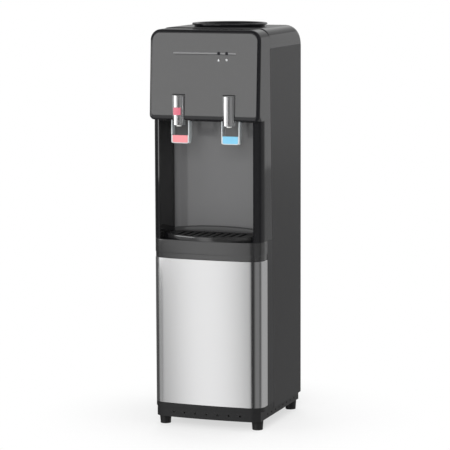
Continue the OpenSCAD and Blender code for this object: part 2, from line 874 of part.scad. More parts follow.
module hot_hose() {
    color("#e8d9d4") hose(-tap_x, [
        [-tap_x, front_y + 78, head_z + 9],
        [hot_x - 14, well_cy - 14, head_z + 6],
        [hot_x - 14, well_cy - 14, hot_top_z + 0.3]]);
}

module cold_hose() {
    base_z = tank_top_z - cold_h;
    color("#d4dfe8") hose(tap_x, [
        [tap_x + 34, front_y + 78, head_z + 44],
        [foam_hw + 12, well_cy - 30, base_z + 30],
        [foam_hw + 12, well_cy, base_z + 30],
        [foam_hw + 0.5, well_cy, base_z + 30]]);
}

module tap_bracket() {
    z0 = head_z + 24;
    color(steel) difference() {
        union() {
            block([-hw + wall_t, bracket_y, z0], [hw - wall_t, bracket_y + 2.5, z0 + 36]);
            for (x = [-hw + wall_t, hw - wall_t - 2])
                block([x, bracket_y - fold_w, z0], [x + 2, bracket_y + 2.5, z0 + 36]);
        }
        for (x = [-tap_x, tap_x])
            y_rod(x, bracket_y - 1, head_z + way_z, way_r - 2 + 0.2, 10);
    }
}

// A tap: upright barrel with its spout, water way to the rear, axle ears and the valve's chamber
module tap_body(x) {
    way_h = head_z + way_z;
    color("#3a3b3d") difference() {
        union() {
            translate([x, tap_y, head_z - 2])
                cylinder(r = barrel_r, h = cover_top - cover_t + 2);
            translate([x, tap_y, head_z - spout_low + 3])
                cylinder(r1 = 6, r2 = barrel_r - 1, h = spout_low - 5 + eps);
            translate([x, tap_y, head_z - spout_low]) cylinder(r = 6, h = 3 + eps);
            y_rod(x, tap_y, way_h, way_r, bracket_y - tap_y);
            y_rod(x, bracket_y - 1, way_h, way_r - 2, tail_y - bracket_y + 1);
            block([x - 17, pivot_y - 6, way_h - 6], [x + 17, pivot_y + 6, way_h + 5]);
            for (side = [-1, 1])
                block([x + side * 15.5 - 1.5, pivot_y - 6, pivot_z - 6],
                    [x + side * 15.5 + 1.5, pivot_y + 6, way_h]);
            translate([x, stem_y, pivot_z + 9.5]) cylinder(r = 6, h = way_z - axle_z - 9.5);
        }
        x_rod(x, pivot_y, pivot_z, axle_r + run_gap, 40);
        translate([x, stem_y, pivot_z + 8.5]) cylinder(r = 2.5 + run_gap, h = way_z - axle_z - 4.5);
        translate([x, tap_y, head_z - spout_low - 1]) cylinder(r = 4, h = spout_low + 12);
    }
}

module tap_body_hot() {
    tap_body(-tap_x);
}

module tap_body_cold() {
    tap_body(tap_x);
}

// Half-round upright cover of a tap, with a window where the child lock sits
module tap_cover(x, window) {
    top = head_z + cover_top;
    low = head_z - cover_low;
    color(silver) difference() {
        translate([x, tap_y, low]) cylinder(r = cover_r, h = top - low);
        translate([x, tap_y, low - 1]) cylinder(r = cover_r - cover_t, h = top - low + 1 - cover_t);
        block([x - 20, tap_y + 3, low - 1], [x + 20, tap_y + 30, top + 1]);
        if (window)
            block([x - lock_hw - run_gap, tap_y - 30, lock_z - run_gap],
                [x + lock_hw + run_gap, tap_y - 2, lock_z + lock_h + run_gap]);
    }
}

module tap_cover_hot() {
    tap_cover(-tap_x, true);
}

module tap_cover_cold() {
    tap_cover(tap_x, false);
}

module tap_nuts() {
    color("#e2e2df") for (x = [-tap_x, tap_x]) difference() {
        translate([x, bracket_y + 2.5, head_z + way_z]) rotate([-90, 0, 0])
            cylinder(r = 11, h = 6, $fn = 6);
        y_rod(x, bracket_y, head_z + way_z, way_r - 2 + 0.1, 20);
    }
}

// A paddle: cheeks joined by the front plate below, by the axle above, and the lever that lifts the valve
module paddle(x) {
    low = head_z - paddle_low;
    plate_top = low + insert_h + 2;
    color("#e9ecee") difference() {
        union() {
            intersection() {
                union() {
                    for (side = [-1, 1])
                        right_from(x + side * (paddle_hw - paddle_t / 2) - paddle_t / 2, paddle_t)
                            cheek_outline(low, plate_top);
                    block([x - paddle_hw + 1, paddle_y, low],
                        [x + paddle_hw - 1, paddle_y + paddle_t + 1.2, plate_top]);
                }
                back_from(paddle_y - 1, cheek_d + past) translate([x, 0])
                    polygon(plate_pts(paddle_hw, low, pivot_z + 10, paddle_r, 1));
            }
            x_rod(x, pivot_y, pivot_z, axle_r, 2 * paddle_hw - 1);
            block([x - 2.5, pivot_y, pivot_z - 2], [x + 2.5, stem_y + 3, pivot_z + 2]);
        }
        back_from(paddle_y - 1, 3) translate([x, 0]) polygon(insert_pts(0));
    }
}

// A paddle's cheek as seen from the side
module cheek_outline(low, plate_top) {
    polygon(concat(
        [[paddle_y, plate_top], [paddle_y, low + 4]],
        arc([paddle_y + 5, low + 5], 5, 190, 270, 4),
        [[paddle_y + cheek_d - 6, low], [paddle_y + cheek_d, plate_top], [paddle_y + cheek_d, head_z - 4]],
        arc([pivot_y, pivot_z], 6, -20, 110, 8),
        [[paddle_y, head_z + 8]]));
}

// The pocket for the coloured insert as seen from the front, drawn in by a distance
function insert_pts(in) =
    let (half = paddle_hw - paddle_t - 1 - in, low = head_z - paddle_low + 2 + in, r = paddle_r - 3)
    concat([[-half, low + insert_h + 1]], arc([-half + r, low + r], r, 180, 270, 4),
        arc([half - r, low + r], r, -90, 0, 4), [[half, low + insert_h + 1]]);

module paddle_hot() {
    paddle(-tap_x);
}

module paddle_cold() {
    paddle(tap_x);
}

// The coloured insert that fills the pocket in a paddle's plate
module paddle_insert(x, paint) {
    top = head_z - paddle_low + 2 + insert_h;
    color(paint) intersection() {
        back_from(paddle_y + 0.1, 1.9) translate([x, 0]) polygon(insert_pts(0.1));
        block([x - paddle_hw, paddle_y, 0], [x + paddle_hw, paddle_y + 3, top]);
    }
}

module paddle_insert_hot() {
    paddle_insert(-tap_x, "#f2a3ab");
}

module paddle_insert_cold() {
    paddle_insert(tap_x, "#93d7f2");
}

// The plunger that the paddle's lever lifts
module valve_stem(x) {
    color("#f4f4f2") translate([x, stem_y, pivot_z + 2 + run_gap]) {
        cylinder(r = 2.5, h = 12);
        cylinder(r = 4.5, h = 1.5);
    }
}

module valve_stem_hot() {
    valve_stem(-tap_x);
}

module valve_stem_cold() {
    valve_stem(tap_x);
}

module lock_button() {
    color("#d2343f") intersection() {
        difference() {
            translate([-tap_x, tap_y, lock_z]) cylinder(r = cover_r + lock_out, h = lock_h);
            translate([-tap_x, tap_y, lock_z - 1]) cylinder(r = cover_r - cover_t - 0.3, h = lock_h + 2);
        }
        block([-tap_x - lock_hw, tap_y - 30, lock_z], [-tap_x + lock_hw, tap_y - 2, lock_z + lock_h]);
    }
}

module drip_tray() {
    z0 = deck_z + run_gap;
    color(gloss_black) difference() {
        up(z0, deck_z + tray_h) polygon(tray_pts(0));
        up(z0 + tray_wall, deck_z + tray_h + 1) polygon(tray_pts(tray_wall + 1.5));
        up(deck_z + tray_h - grille_t, deck_z + tray_h + 1) polygon(tray_pts(tray_wall));
    }
}

module drip_grille() {
    in = tray_wall + run_gap;
    z0 = deck_z + tray_h - grille_t + 0.1;
    depth = tray_back_y - tray_front_y;
    color(satin_black) up(z0, z0 + grille_t) difference() {
        polygon(tray_pts(in));
        intersection() {
            for (i = [-4:4])
                translate([i * slot_pitch - slot_w / 2, tray_front_y]) square([slot_w, depth]);
            polygon(tray_pts(in + 8));
        }
    }
}

module compressor_plate() {
    half = comp_r + 6;
    color(sheet_grey) difference() {
        union() {
            block([-hw + 12, comp_y - half, floor_z], [hw - 12, comp_y + half, floor_z + 2]);
            for (y = [comp_y - half, comp_y + half - 2])
                block([-hw + 12, y, floor_z], [hw - 12, y + 2, floor_z + 9]);
        }
        at_grommets() cylinder(r = 4, h = 100);
    }
}

// Places of the compressor's four rubber mounts
module at_grommets() {
    for (x = [comp_x - mount_in, comp_x + mount_in])
        for (y = [comp_y - mount_in, comp_y + mount_in])
            translate([x, y, 0]) children();
}

module compressor_grommets() {
    color("#2e2e30") at_grommets() translate([0, 0, floor_z + 2]) rotate_extrude() polygon([
        [3, 0], [9, 0], [9, 3], [7, 4.5], [7, 7.5], [9, 9], [9, 12], [3, 12]]);
}

module compressor() {
    top = comp_z + comp_h;
    color("#1f2022") {
        difference() {
            block([comp_x - comp_r, comp_y - comp_r, comp_foot_z],
                [comp_x + comp_r, comp_y + comp_r, comp_foot_z + 2.5]);
            for (a = [0, 90])
                translate([comp_x, comp_y, comp_foot_z - 1]) rotate([0, 0, a]) for (side = [-1, 1])
                    translate([-comp_r / 2, side * (comp_r + 8) - 20, 0]) cube([comp_r, 40, 5]);
            at_grommets() cylinder(r = 3, h = 100);
        }
        translate([comp_x, comp_y, 0]) rotate_extrude() polygon(concat(
            [[0, comp_foot_z + 2], [comp_r - 24, comp_foot_z + 2]],
            arc([comp_r - 24, comp_z + 22], 24, -80, 0, 8),
            [[comp_r, comp_z + comp_h / 2 - 3], [comp_r + 3, comp_z + comp_h / 2 - 3],
                [comp_r + 3, comp_z + comp_h / 2 + 1], [comp_r - 1, comp_z + comp_h / 2 + 1]],
            arc([comp_r - 37, top - 36], 36, 0, 90, 10),
            [[0, top]]));
    }
}

module relay_box() {
    x1 = comp_x - comp_r + 4;
    z0 = comp_z + 30;
    color("#3b3c3f") difference() {
        block([x1 - 30, comp_y - 20, z0], [x1 + 8, comp_y + 20, z0 + 48]);
        translate([comp_x, comp_y, z0 - 1]) cylinder(r = comp_r + 3.2, h = 60);
    }
}

module filter_drier() {
    neck = drier_r / 3;
    color(copper) translate([drier_x, drier_y, drier_top_z - drier_h]) rotate_extrude()
        polygon([[0, 0], [neck, 0], [neck, 8], [drier_r, 18], [drier_r, drier_h - 18],
            [neck, drier_h - 8], [neck, drier_h], [0, drier_h]]);
}

module suction_line() {
    x = suction_x;
    color(copper) sweep(soft_path([
        [comp_x + 40, comp_y, comp_z + comp_h - 2.2],
        [comp_x + 40, comp_y, comp_z + comp_h + 24],
        [x, comp_y, comp_z + comp_h + 24],
        [x, comp_y, tank_top_z - cold_h + 20],
        [foam_hw + 0.5, comp_y, tank_top_z - cold_h + 20]], 12), 3.2);
}

// From the compressor out under the rear panel to the condenser's lower end
module discharge_line() {
    z = comp_z + comp_h + 14;
    color(copper) sweep(soft_path([
        [comp_x - comp_r / 2, comp_y + 25, comp_z + comp_h - 2.1],
        [comp_x - comp_r / 2, comp_y + 25, z],
        [comp_x - comp_r / 2, coil_cy, z],
        [-coil_hw - 14, coil_cy, z],
        [-coil_hw - 14, coil_cy, coil_z],
        [-coil_hw - 0.3, coil_cy, coil_z]], 9), 2.5);
}

// From the condenser's upper end down to the filter drier
module liquid_line() {
    top = coil_z + (coil_runs - 1) * coil_pitch;
    color(copper) sweep(soft_path([
        [-coil_hw - 0.3, coil_cy, top],
        [drier_x, coil_cy, top],
        [drier_x, coil_cy, rear_z - 18],
        [drier_x, drier_y, rear_z - 18],
        [drier_x, drier_y, drier_top_z + 0.3]], 9), 2);
}

// One tube that runs to and fro behind the rear panel
module condenser_tube() {
    bend = coil_pitch / 2;
    runs = [for (i = [0:coil_runs - 1])
        let (side = i % 2 == 0 ? 1 : -1, z = coil_z + i * coil_pitch)
        each concat(
            [[-side * coil_hw, coil_cy, z]],
            [for (k = [0:6]) i == coil_runs - 1 && k > 0 ? undef :
                [side * (coil_hw + bend * sin(30 * k)), coil_cy, z + bend * (1 - cos(30 * k))]])];
    color("#1d1d1f") sweep([for (p = runs) if (p != undef) p], coil_r, 8, [0, 1, 0]);
}

module condenser_wires() {
    length = (coil_runs - 1) * coil_pitch + 24;
    step = (2 * coil_hw - 10) / (wire_n - 1);
    color("#1d1d1f") for (side = [-1, 1])
        for (i = [0:wire_n - 1])
            translate([-coil_hw + 5 + i * step, coil_cy + side * (coil_r + wire_r + 0.1), coil_z - 12])
                cylinder(r = wire_r, h = length, $fn = 16);
}

module condenser_brackets() {
    reach = coil_cy - coil_r - 2 * wire_r - 0.2 - back_y;
    high = coil_z + (coil_runs - 2) * coil_pitch;
    color(sheet_grey) for (z = [coil_z + coil_pitch / 2, high + coil_pitch / 2])
        for (side = [-1, 1]) {
            x = side * (coil_hw - 12);
            block([x - 14, back_y, z - 8], [x + 14, back_y + 1.5, z + 8]);
            block([x - 14, back_y, z - 1], [x + 14, back_y + reach, z + 1]);
            block([x - 14, back_y + reach - 1.5, z - 6], [x + 14, back_y + reach, z + 6]);
        }
}

// Places of the two switches on the rear panel's face
module at_switches() {
    for (x = [-rocker_w, rocker_w])
        translate([switch_x + x, back_y, switch_z]) children();
}

// A block of a width and height about the middle, between two depths
module centred_block(w, h, y0, y1) {
    block([-w / 2, y0, -h / 2], [w / 2, y1, h / 2]);
}

module switch_plate() {
    color("#202022") difference() {
        union() {
            block([switch_x - 30, back_y, switch_z - 18], [switch_x + 30, back_y + 2, switch_z + 18]);
            at_switches() centred_block(rocker_w + 3, rocker_h + 3, -20, 1);
        }
        at_switches() {
            centred_block(rocker_w, rocker_h, -9, 5);
            x_rod(0, rocker_y - back_y, 0, pin_r + run_gap, rocker_w + 6);
        }
    }
}

// A rocker, tilted to its off position
module rocker(x, paint) {
    half = rocker_h / 2 - 1.4;
    color(paint) translate([switch_x + x, rocker_y, switch_z]) rotate([rocker_tilt, 0, 0]) {
        right_from(-rocker_w / 2 + run_gap, rocker_w - 2 * run_gap)
            polygon([[-2.5, -half + 2], [7, -half], [5.4, 0], [7, half], [-2.5, half - 2]]);
        x_rod(0, 0, 0, pin_r, rocker_w + 2 * pin_reach);
    }
}

module rocker_heating() {
    rocker(-rocker_w, "#b5262f");
}

module rocker_cooling() {
    rocker(rocker_w, "#2f7d4a");
}

module cord_gland() {
    color("#202022") translate([gland_x, back_y, gland_z]) rotate([-90, 0, 0]) rotate_extrude()
        polygon([[gland_r, -6], [gland_r + 2.8, -6], [gland_r + 2.8, 0], [gland_r + 6, 0],
            [gland_r + 6, 3], [gland_r + 3, 4], [gland_r + 2, 11], [gland_r, 11]]);
}

module drain_spout() {
    color("#d8d9da") translate([drain_x, back_y, drain_z]) rotate([-90, 0, 0]) rotate_extrude()
        polygon([[drain_r - 2.5, -30], [drain_r, -30], [drain_r, 0], [drain_r + 3.5, 0],
            [drain_r + 3.5, 2], [drain_r, 2], [drain_r, 10], [drain_r - 2.5, 10]]);
}

module drain_cap() {
    color("#26272a") translate([drain_x, back_y, drain_z]) rotate([-90, 0, 0]) rotate_extrude()
        polygon([[0, 10.35], [drain_r + run_gap, 10.35], [drain_r + run_gap, 2.35], [drain_r + 2.6, 2.35],
            [drain_r + 2.6, 12], [drain_r + 1.6, 13], [0, 13]]);
}

module rear_screws() {
    color(steel) for (x = [-screw_x, screw_x])
        for (i = [0:4])
            translate([x, back_y, rear_z + 20 + i * screw_step]) rotate([-90, 0, 0]) rotate_extrude()
                polygon([[0, -7], [screw_r, -7], [screw_r, 0], [3.4, 0], [3.4, 0.9], [2.4, 1.8], [0, 1.8]]);
}

base_tray();
feet();
foot_pads();
side_panel_left();
side_panel_right();
rear_panel();
front_frame();
lower_front_panel();
tray_housing();
bay_liner();
head_shell();
head_face();
indicator_lenses();
top_cover();
bottle_well();
cold_tank();
tank_insulation();
evaporator_coil();
tank_shelf();
hot_tank();
heater_band();
tank_link_pipe();
hot_hose();
cold_hose();
tap_bracket();
tap_body_hot();
tap_body_cold();
tap_cover_hot();
tap_cover_cold();
tap_nuts();
compressor_plate();
compressor_grommets();
compressor();
relay_box();
filter_drier();
suction_line();
discharge_line();
liquid_line();
condenser_tube();
condenser_wires();
condenser_brackets();
switch_plate();
cord_gland();
drain_spout();
rear_screws();
paddle_hot();
paddle_cold();
paddle_insert_hot();
paddle_insert_cold();
valve_stem_hot();
valve_stem_cold();
lock_button();
bottle_collar();
feed_probe();
drip_tray();
drip_grille();
rocker_heating();
rocker_cooling();
drain_cap();
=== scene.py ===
"""The looks of a top load water cooler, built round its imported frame.

Pieces are worked out in millimetres and handed over in metres: X to the right, Y to the rear, Z up,
with the floor at zero.
"""

import json

import bmesh
import bpy
import numpy as np
from mathutils import Matrix, Vector


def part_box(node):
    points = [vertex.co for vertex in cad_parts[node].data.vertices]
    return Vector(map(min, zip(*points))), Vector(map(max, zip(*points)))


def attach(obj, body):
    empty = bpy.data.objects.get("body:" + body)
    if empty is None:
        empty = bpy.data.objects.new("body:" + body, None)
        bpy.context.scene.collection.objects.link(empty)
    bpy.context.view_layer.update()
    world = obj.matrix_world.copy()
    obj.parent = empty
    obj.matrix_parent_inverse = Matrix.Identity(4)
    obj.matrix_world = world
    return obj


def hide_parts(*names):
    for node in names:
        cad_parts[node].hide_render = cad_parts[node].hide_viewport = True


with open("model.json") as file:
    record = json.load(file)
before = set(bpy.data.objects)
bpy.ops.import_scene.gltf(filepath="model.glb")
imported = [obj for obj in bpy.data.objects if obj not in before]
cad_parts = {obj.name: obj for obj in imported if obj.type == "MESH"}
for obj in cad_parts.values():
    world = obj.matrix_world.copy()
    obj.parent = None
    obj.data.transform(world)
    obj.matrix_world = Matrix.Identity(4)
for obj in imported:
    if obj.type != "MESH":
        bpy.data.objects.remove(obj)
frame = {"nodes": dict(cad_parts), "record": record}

bl_info = {
    "name": "Water Cooler",
    "version": (1, 0, 0),
    "blender": (4, 5, 0),
    "location": "3D View > Sidebar > Cooler",
    "description": "Builds the finishes, mouldings and studio of a top load water cooler",
    "category": "Add Mesh",
}

MM = 0.001
SMOOTH_BELOW = np.radians(38.0)
ROUNDED_ABOVE = np.radians(50.0)
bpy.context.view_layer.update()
NODE_BODY = {node: body for body, nodes in frame["record"]["behaviour"]["bodies"].items() for node in nodes}
FINISHES = {}


def node_mm(node):
    """Lowest and highest corner of a CAD solid, in millimetres."""
    low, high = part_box(node)
    return np.array(low) / MM, np.array(high) / MM


def middle_mm(node):
    """Middle of a CAD solid's box, in millimetres."""
    low, high = node_mm(node)
    return (low + high) / 2.0


# Main sizes, read from the solids where they show them
PANEL_LOW, PANEL_HIGH = node_mm("lower_front_panel")
HALF = PANEL_HIGH[0]
FRONT_Y = PANEL_LOW[1]
BACK_Y = node_mm("rear_panel")[1][1]
WRAP_Y = FRONT_Y + 50.0
PANEL_Z = node_mm("front_frame")[0][2]
HEAD_Z = node_mm("front_frame")[1][2]
BAND_Z = node_mm("tray_housing")[0][2]
DECK_Z = node_mm("bay_liner")[0][2]
COVER_Z = node_mm("top_cover")[1][2]
HEAD_H = 210.0
HEAD_R = 25.0
WALL = 2.5
PANEL_T = 2.0
SEAM_GAP = 0.3
SEAM_BACK = 96.0
SEAM_RUN = 30.0
SIDES = ((-1.0, "left"), (1.0, "right"))
TUBE_SIDES = 14

# Plan of the cabinet's front: a shallow bow between two round corners
CORNER_R = 29.0
BOW = 5.0
BOW_X = HALF - CORNER_R
BOW_R = (BOW_X ** 2 + BOW ** 2) / (2.0 * BOW)
BOW_Y = FRONT_Y + BOW_R
BOW_END = np.degrees(np.arcsin(BOW_X / (BOW_R - CORNER_R)))
CORNER_Y = BOW_Y - np.sqrt((BOW_R - CORNER_R) ** 2 - BOW_X ** 2)

# The head's leaning face
FACE_Y = FRONT_Y - 7.7
FACE_LEAN = np.radians(3.2)
RIM_R = 7.0
FACE_LOW = 11.0
FACE_END = 110.0
FACE_CORNER = 5.0
FACE_TOP_R = 18.0
NOTCH_HALF = 15.0
PADDLE_CUT = 24.3
LAMP_X = (35.0, 54.5)
LAMP_Z = 155.7
SIGN_Z = 140.8

# The bay, its tray and the taps
BAY_HALF = 116.0
BAY_DEPTH = 98.0
BAY_DRAFT = 4.0
BAY_R = 14.0
TRAY_R = 170.0
TRAY_FRONT = node_mm("drip_tray")[0][1]
TRAY_BACK = node_mm("drip_tray")[1][1]
TRAY_HALF = node_mm("drip_tray")[1][0]
TRAY_Y = TRAY_FRONT + TRAY_R
TRAY_TOP = DECK_Z + 11.0
TRAY_CORNER = 12.0
TAP_X = 62.0
TAP_Y = FRONT_Y - 4.0
TAP_R = 14.5
TAP_SIDE = 3.0
WINDOW_HALF = 10.35
WINDOW_LOW = HEAD_Z + 12.65
WINDOW_HIGH = HEAD_Z + 30.35
LOCK_GAP = 0.35
PIVOT_Y = FRONT_Y + 16.0
PIVOT_Z = HEAD_Z + 18.0
PADDLE_BACK = PIVOT_Y + 18.0
WELL_Y = FRONT_Y + 172.0


class Val:
    """A shader value; arithmetic on it adds Math nodes to its finish."""

    def __init__(self, finish, socket):
        self.finish = finish
        self.socket = socket

    def math(self, operation, a, b):
        return self.finish.add("ShaderNodeMath", {"operation": operation}, {0: a, 1: b})

    def __add__(self, other):
        return self.math("ADD", self, other)

    def __radd__(self, other):
        return self.math("ADD", other, self)

    def __sub__(self, other):
        return self.math("SUBTRACT", self, other)

    def __rsub__(self, other):
        return self.math("SUBTRACT", other, self)

    def __mul__(self, other):
        return self.math("MULTIPLY", self, other)

    def __rmul__(self, other):
        return self.math("MULTIPLY", other, self)

    def step(self, low, high):
        """0 below low, 1 above high, with a soft ramp between."""
        return self.finish.add("ShaderNodeMapRange", {"interpolation_type": "SMOOTHSTEP"},
                               {"Value": self, "From Min": low, "From Max": high})


class Finish:
    """A procedural material on one Principled shader, fed by Object coordinates."""

    def __init__(self, name, **constants):
        self.material = bpy.data.materials.new(name)
        self.material.use_nodes = True
        self.tree = self.material.node_tree
        self.tree.nodes.clear()
        self.shader = self.tree.nodes.new("ShaderNodeBsdfPrincipled")
        self.output = self.tree.nodes.new("ShaderNodeOutputMaterial")
        self.tree.links.new(self.shader.outputs[0], self.output.inputs[0])
        for socket, value in constants.items():
            self.shader.inputs[socket.replace("_", " ")].default_value = value
        FINISHES[name] = self.material

    def add(self, kind, settings=None, inputs=None, output=0):
        """One node of a kind, its settings first, then the values or links of its sockets."""
        node = self.tree.nodes.new(kind)
        for key, value in (settings or {}).items():
            setattr(node, key, value)
        for key, value in (inputs or {}).items():
            if isinstance(value, Val):
                self.tree.links.new(value.socket, node.inputs[key])
            else:
                node.inputs[key].default_value = value
        return Val(self, node.outputs[output])

    def place(self, scale=(1, 1, 1), turn=(0, 0, 0)):
        """Object coordinates in metres, scaled and turned."""
        coordinates = self.add("ShaderNodeTexCoord", output="Object")
        return self.add("ShaderNodeMapping", {"vector_type": "POINT"},
                        {"Vector": coordinates, "Scale": scale, "Rotation": turn})

    def noise(self, scale, detail=2.0, rough=0.5, at=None):
        return self.add("ShaderNodeTexNoise", {}, {"Vector": at or self.place(), "Scale": scale,
                                                   "Detail": detail, "Roughness": rough}, output="Fac")

    def cells(self, scale, feature="F1"):
        return self.add("ShaderNodeTexVoronoi", {"feature": feature},
                        {"Vector": self.place(), "Scale": scale}, output="Distance")

    def along(self, axis):
        """One Object coordinate, in metres."""
        return self.add("ShaderNodeSeparateXYZ", {}, {"Vector": self.place()}, output=axis)

    def blend(self, mask, low, high):
        """A colour from low to high as mask goes from 0 to 1."""
        pair = [tone if isinstance(tone, Val) else tuple(tone) + (1.0,) for tone in (low, high)]
        return self.add("ShaderNodeMix", {"data_type": "RGBA"}, {0: mask, 6: pair[0], 7: pair[1]}, output=2)

    def drive(self, socket, value):
        self.tree.links.new(value.socket, self.shader.inputs[socket])

    def bump(self, height, depth_mm, strength=1.0):
        """Feeds the normal with a relief of a real depth."""
        node = self.add("ShaderNodeBump", {}, {"Strength": strength, "Distance": depth_mm * MM,
                                               "Height": height}, output="Normal")
        self.drive("Normal", node)


def shade(colour, factor):
    """The colour made lighter or darker."""
    return tuple(min(1.0, channel * factor) for channel in colour[:3])


def polished_moulding(name, colour, rough=0.09, coat=0.0, wave_mm=0.02, shine=0.5, shade_ahead=None):
    """Polished plastic: a slow waviness, faint rub marks in its gloss and a few specks of dust. Ahead of
    a given depth it is much darker: painted shade for the bay's side walls, which stand out of the light."""
    f = Finish(name, Specular_IOR_Level=shine, Coat_Weight=coat, Coat_Roughness=0.05)
    wave = f.noise(9.0, 3.0)
    rub = f.noise(90.0, 4.0, 0.6, at=f.place(scale=(1, 1, 0.2), turn=(0.2, 0.3, 0.5)))
    specks = f.noise(900.0, 2.0, 0.6).step(0.72, 0.76)
    tone = f.blend(wave * 0.6 + specks * 0.3, shade(colour, 0.94), shade(colour, 1.1))
    # Painted shade: ahead of that depth the tone drops to an eighth, for the shade on the bay's side walls
    if shade_ahead is not None:
        behind = f.along("Y").step(shade_ahead * MM - 0.001, shade_ahead * MM)
        tone = f.blend(behind, shade(colour, 0.12), tone)
    f.drive("Base Color", tone)
    f.drive("Roughness", rough + 0.03 * wave + 0.06 * rub + 0.12 * specks)
    f.bump(f.noise(38.0, 1.0) + 0.02 * rub, wave_mm)
    return f.material


def grained_moulding(name, colour, grain=1400.0, rough=0.38, light=0.4):
    """Satin plastic with the fine spark-eroded grain of a mould."""
    f = Finish(name, Specular_IOR_Level=light)
    pits = f.cells(grain)
    patch = f.noise(14.0, 3.0)
    f.drive("Base Color", f.blend(patch * 0.6 + pits * 0.4, shade(colour, 0.88), shade(colour, 1.15)))
    f.drive("Roughness", rough + 0.10 * patch)
    f.bump(pits + 0.3 * f.noise(grain * 0.5, 2.0), 0.02, 0.5)
    return f.material


def powder_coat(name, colour, rough=0.34, light=0.3):
    """Powder-coated sheet: orange peel a few millimetres across, and a slow change of tone."""
    f = Finish(name, Specular_IOR_Level=light)
    peel = f.noise(330.0, 2.0, 0.45)
    slow = f.noise(5.0, 2.0)
    fine = f.noise(1900.0, 2.0)
    f.drive("Base Color", f.blend(slow * 0.5 + fine * 0.4, shade(colour, 0.92), shade(colour, 1.1)))
    f.drive("Roughness", rough + 0.08 * peel + 0.05 * slow)
    f.bump(peel + 0.25 * fine, 0.03, 0.5)
    return f.material


def brushed_metal(name, colour, grain=(0.012, 0.012, 1), rough=0.2, depth=0.006, metal=1.0, streak=0.3):
    """Brushed metal: long scratches across two axes that are squeezed, with a slow cloud over them."""
    f = Finish(name, Specular_IOR_Level=0.5)
    lines = f.noise(2400.0, 3.0, 0.7, at=f.place(scale=grain))
    broad = f.noise(420.0, 2.0, 0.5, at=f.place(scale=grain))
    cloud = f.noise(5.0, 2.0)
    tone = lines * 0.6 + broad * 0.4
    f.drive("Base Color", f.blend(tone * streak + cloud * 0.25, shade(colour, 0.93), shade(colour, 1.06)))
    f.shader.inputs["Metallic"].default_value = metal
    f.drive("Roughness", rough + 0.10 * lines + 0.04 * cloud)
    f.bump(lines * 0.7 + broad * 0.3, depth, 0.6)
    return f.material


def drawn_tube(name, colour, rough=0.26):
    """Drawn copper: bright, with darker oxidised patches."""
    f = Finish(name, Metallic=1.0)
    patch = f.noise(46.0, 4.0, 0.6).step(0.42, 0.68)
    fine = f.noise(700.0, 3.0)
    f.drive("Base Color", f.blend(patch * 0.7 + fine * 0.2, colour, shade(colour, 0.45)))
    f.drive("Roughness", rough + 0.25 * patch + 0.06 * fine)
    f.bump(fine, 0.02, 0.5)
    return f.material


def beaded_foam(name, colour):
    """Moulded foam: beads pressed together, with darker seams between them."""
    f = Finish(name)
    edge = f.cells(230.0, feature="DISTANCE_TO_EDGE").step(0.0, 0.12)
    f.drive("Base Color", f.blend(edge, shade(colour, 0.78), colour))
    f.drive("Roughness", 0.75 + 0.1 * edge)
    f.bump(edge + 0.2 * f.noise(900.0), 0.35, 0.6)
    return f.material


def moulded_rubber(name, colour):
    """Matt rubber with a dusty bloom."""
    f = Finish(name, Specular_IOR_Level=0.3)
    bloom = f.noise(60.0, 4.0, 0.6).step(0.45, 0.75)
    f.drive("Base Color", f.blend(bloom * 0.6, colour, shade(colour, 2.4)))
    f.drive("Roughness", 0.62 + 0.2 * bloom)
    f.bump(f.noise(1300.0, 3.0), 0.04, 0.6)
    return f.material


def milky_moulding(name, colour, rough=0.22, soft=0.3):
    """Milky plastic: light goes a little way in, and flow marks show in its depth."""
    f = Finish(name, Specular_IOR_Level=0.5, IOR=1.49, Subsurface_Weight=soft,
               Subsurface_Radius=(0.003, 0.003, 0.003), Subsurface_Scale=1.0)
    flow = f.noise(70.0, 3.0, 0.5, at=f.place(scale=(1, 1, 0.35)))
    f.drive("Base Color", f.blend(flow * 0.8, shade(colour, 0.93), shade(colour, 1.05)))
    f.drive("Roughness", rough + 0.08 * flow)
    f.bump(f.noise(150.0, 2.0), 0.02, 0.5)
    return f.material


def smoked_lens(name, colour):
    """A small smoked lamp lens with a fine prism pattern under its gloss."""
    f = Finish(name, Specular_IOR_Level=0.12)
    prism = f.cells(3200.0)
    f.drive("Base Color", f.blend(prism, shade(colour, 0.6), shade(colour, 1.6)))
    f.drive("Roughness", 0.12 + 0.2 * prism)
    f.bump(prism, 0.02, 0.4)
    return f.material


def marking_ink(name, colour):
    """Pad-printed ink: thin, slightly uneven, matt on the polished face."""
    f = Finish(name, Specular_IOR_Level=0.4)
    uneven = f.noise(900.0, 3.0)
    f.drive("Base Color", f.blend(uneven, shade(colour, 0.85), colour))
    f.drive("Roughness", 0.4 + 0.1 * uneven)
    return f.material


def studio_paper(name):
    """The white floor. The camera sees its own white mixed in, more the farther it lies, so that only a
    soft shadow by the feet stays; gloss and metal see the lit paper."""
    f = Finish(name, Roughness=0.85)
    tooth = f.noise(900.0, 3.0)
    f.drive("Base Color", f.blend(tooth, (0.88, 0.88, 0.88), (0.92, 0.92, 0.92)))
    f.bump(tooth, 0.05, 0.3)
    reach = f.add("ShaderNodeVectorMath", {"operation": "LENGTH"}, {0: f.place()}, output="Value")
    far = reach.step(0.2, 0.5)
    camera = f.add("ShaderNodeLightPath", output="Is Camera Ray")
    glow = f.add("ShaderNodeEmission", {}, {"Color": (1.0, 1.0, 1.0, 1.0), "Strength": 1.0})
    share = camera * (0.62 + 0.38 * far)
    mixed = f.add("ShaderNodeMixShader", {}, {0: share, 1: Val(f, f.shader.outputs[0]), 2: glow})
    f.tree.links.new(mixed.socket, f.output.inputs[0])
    return f.material


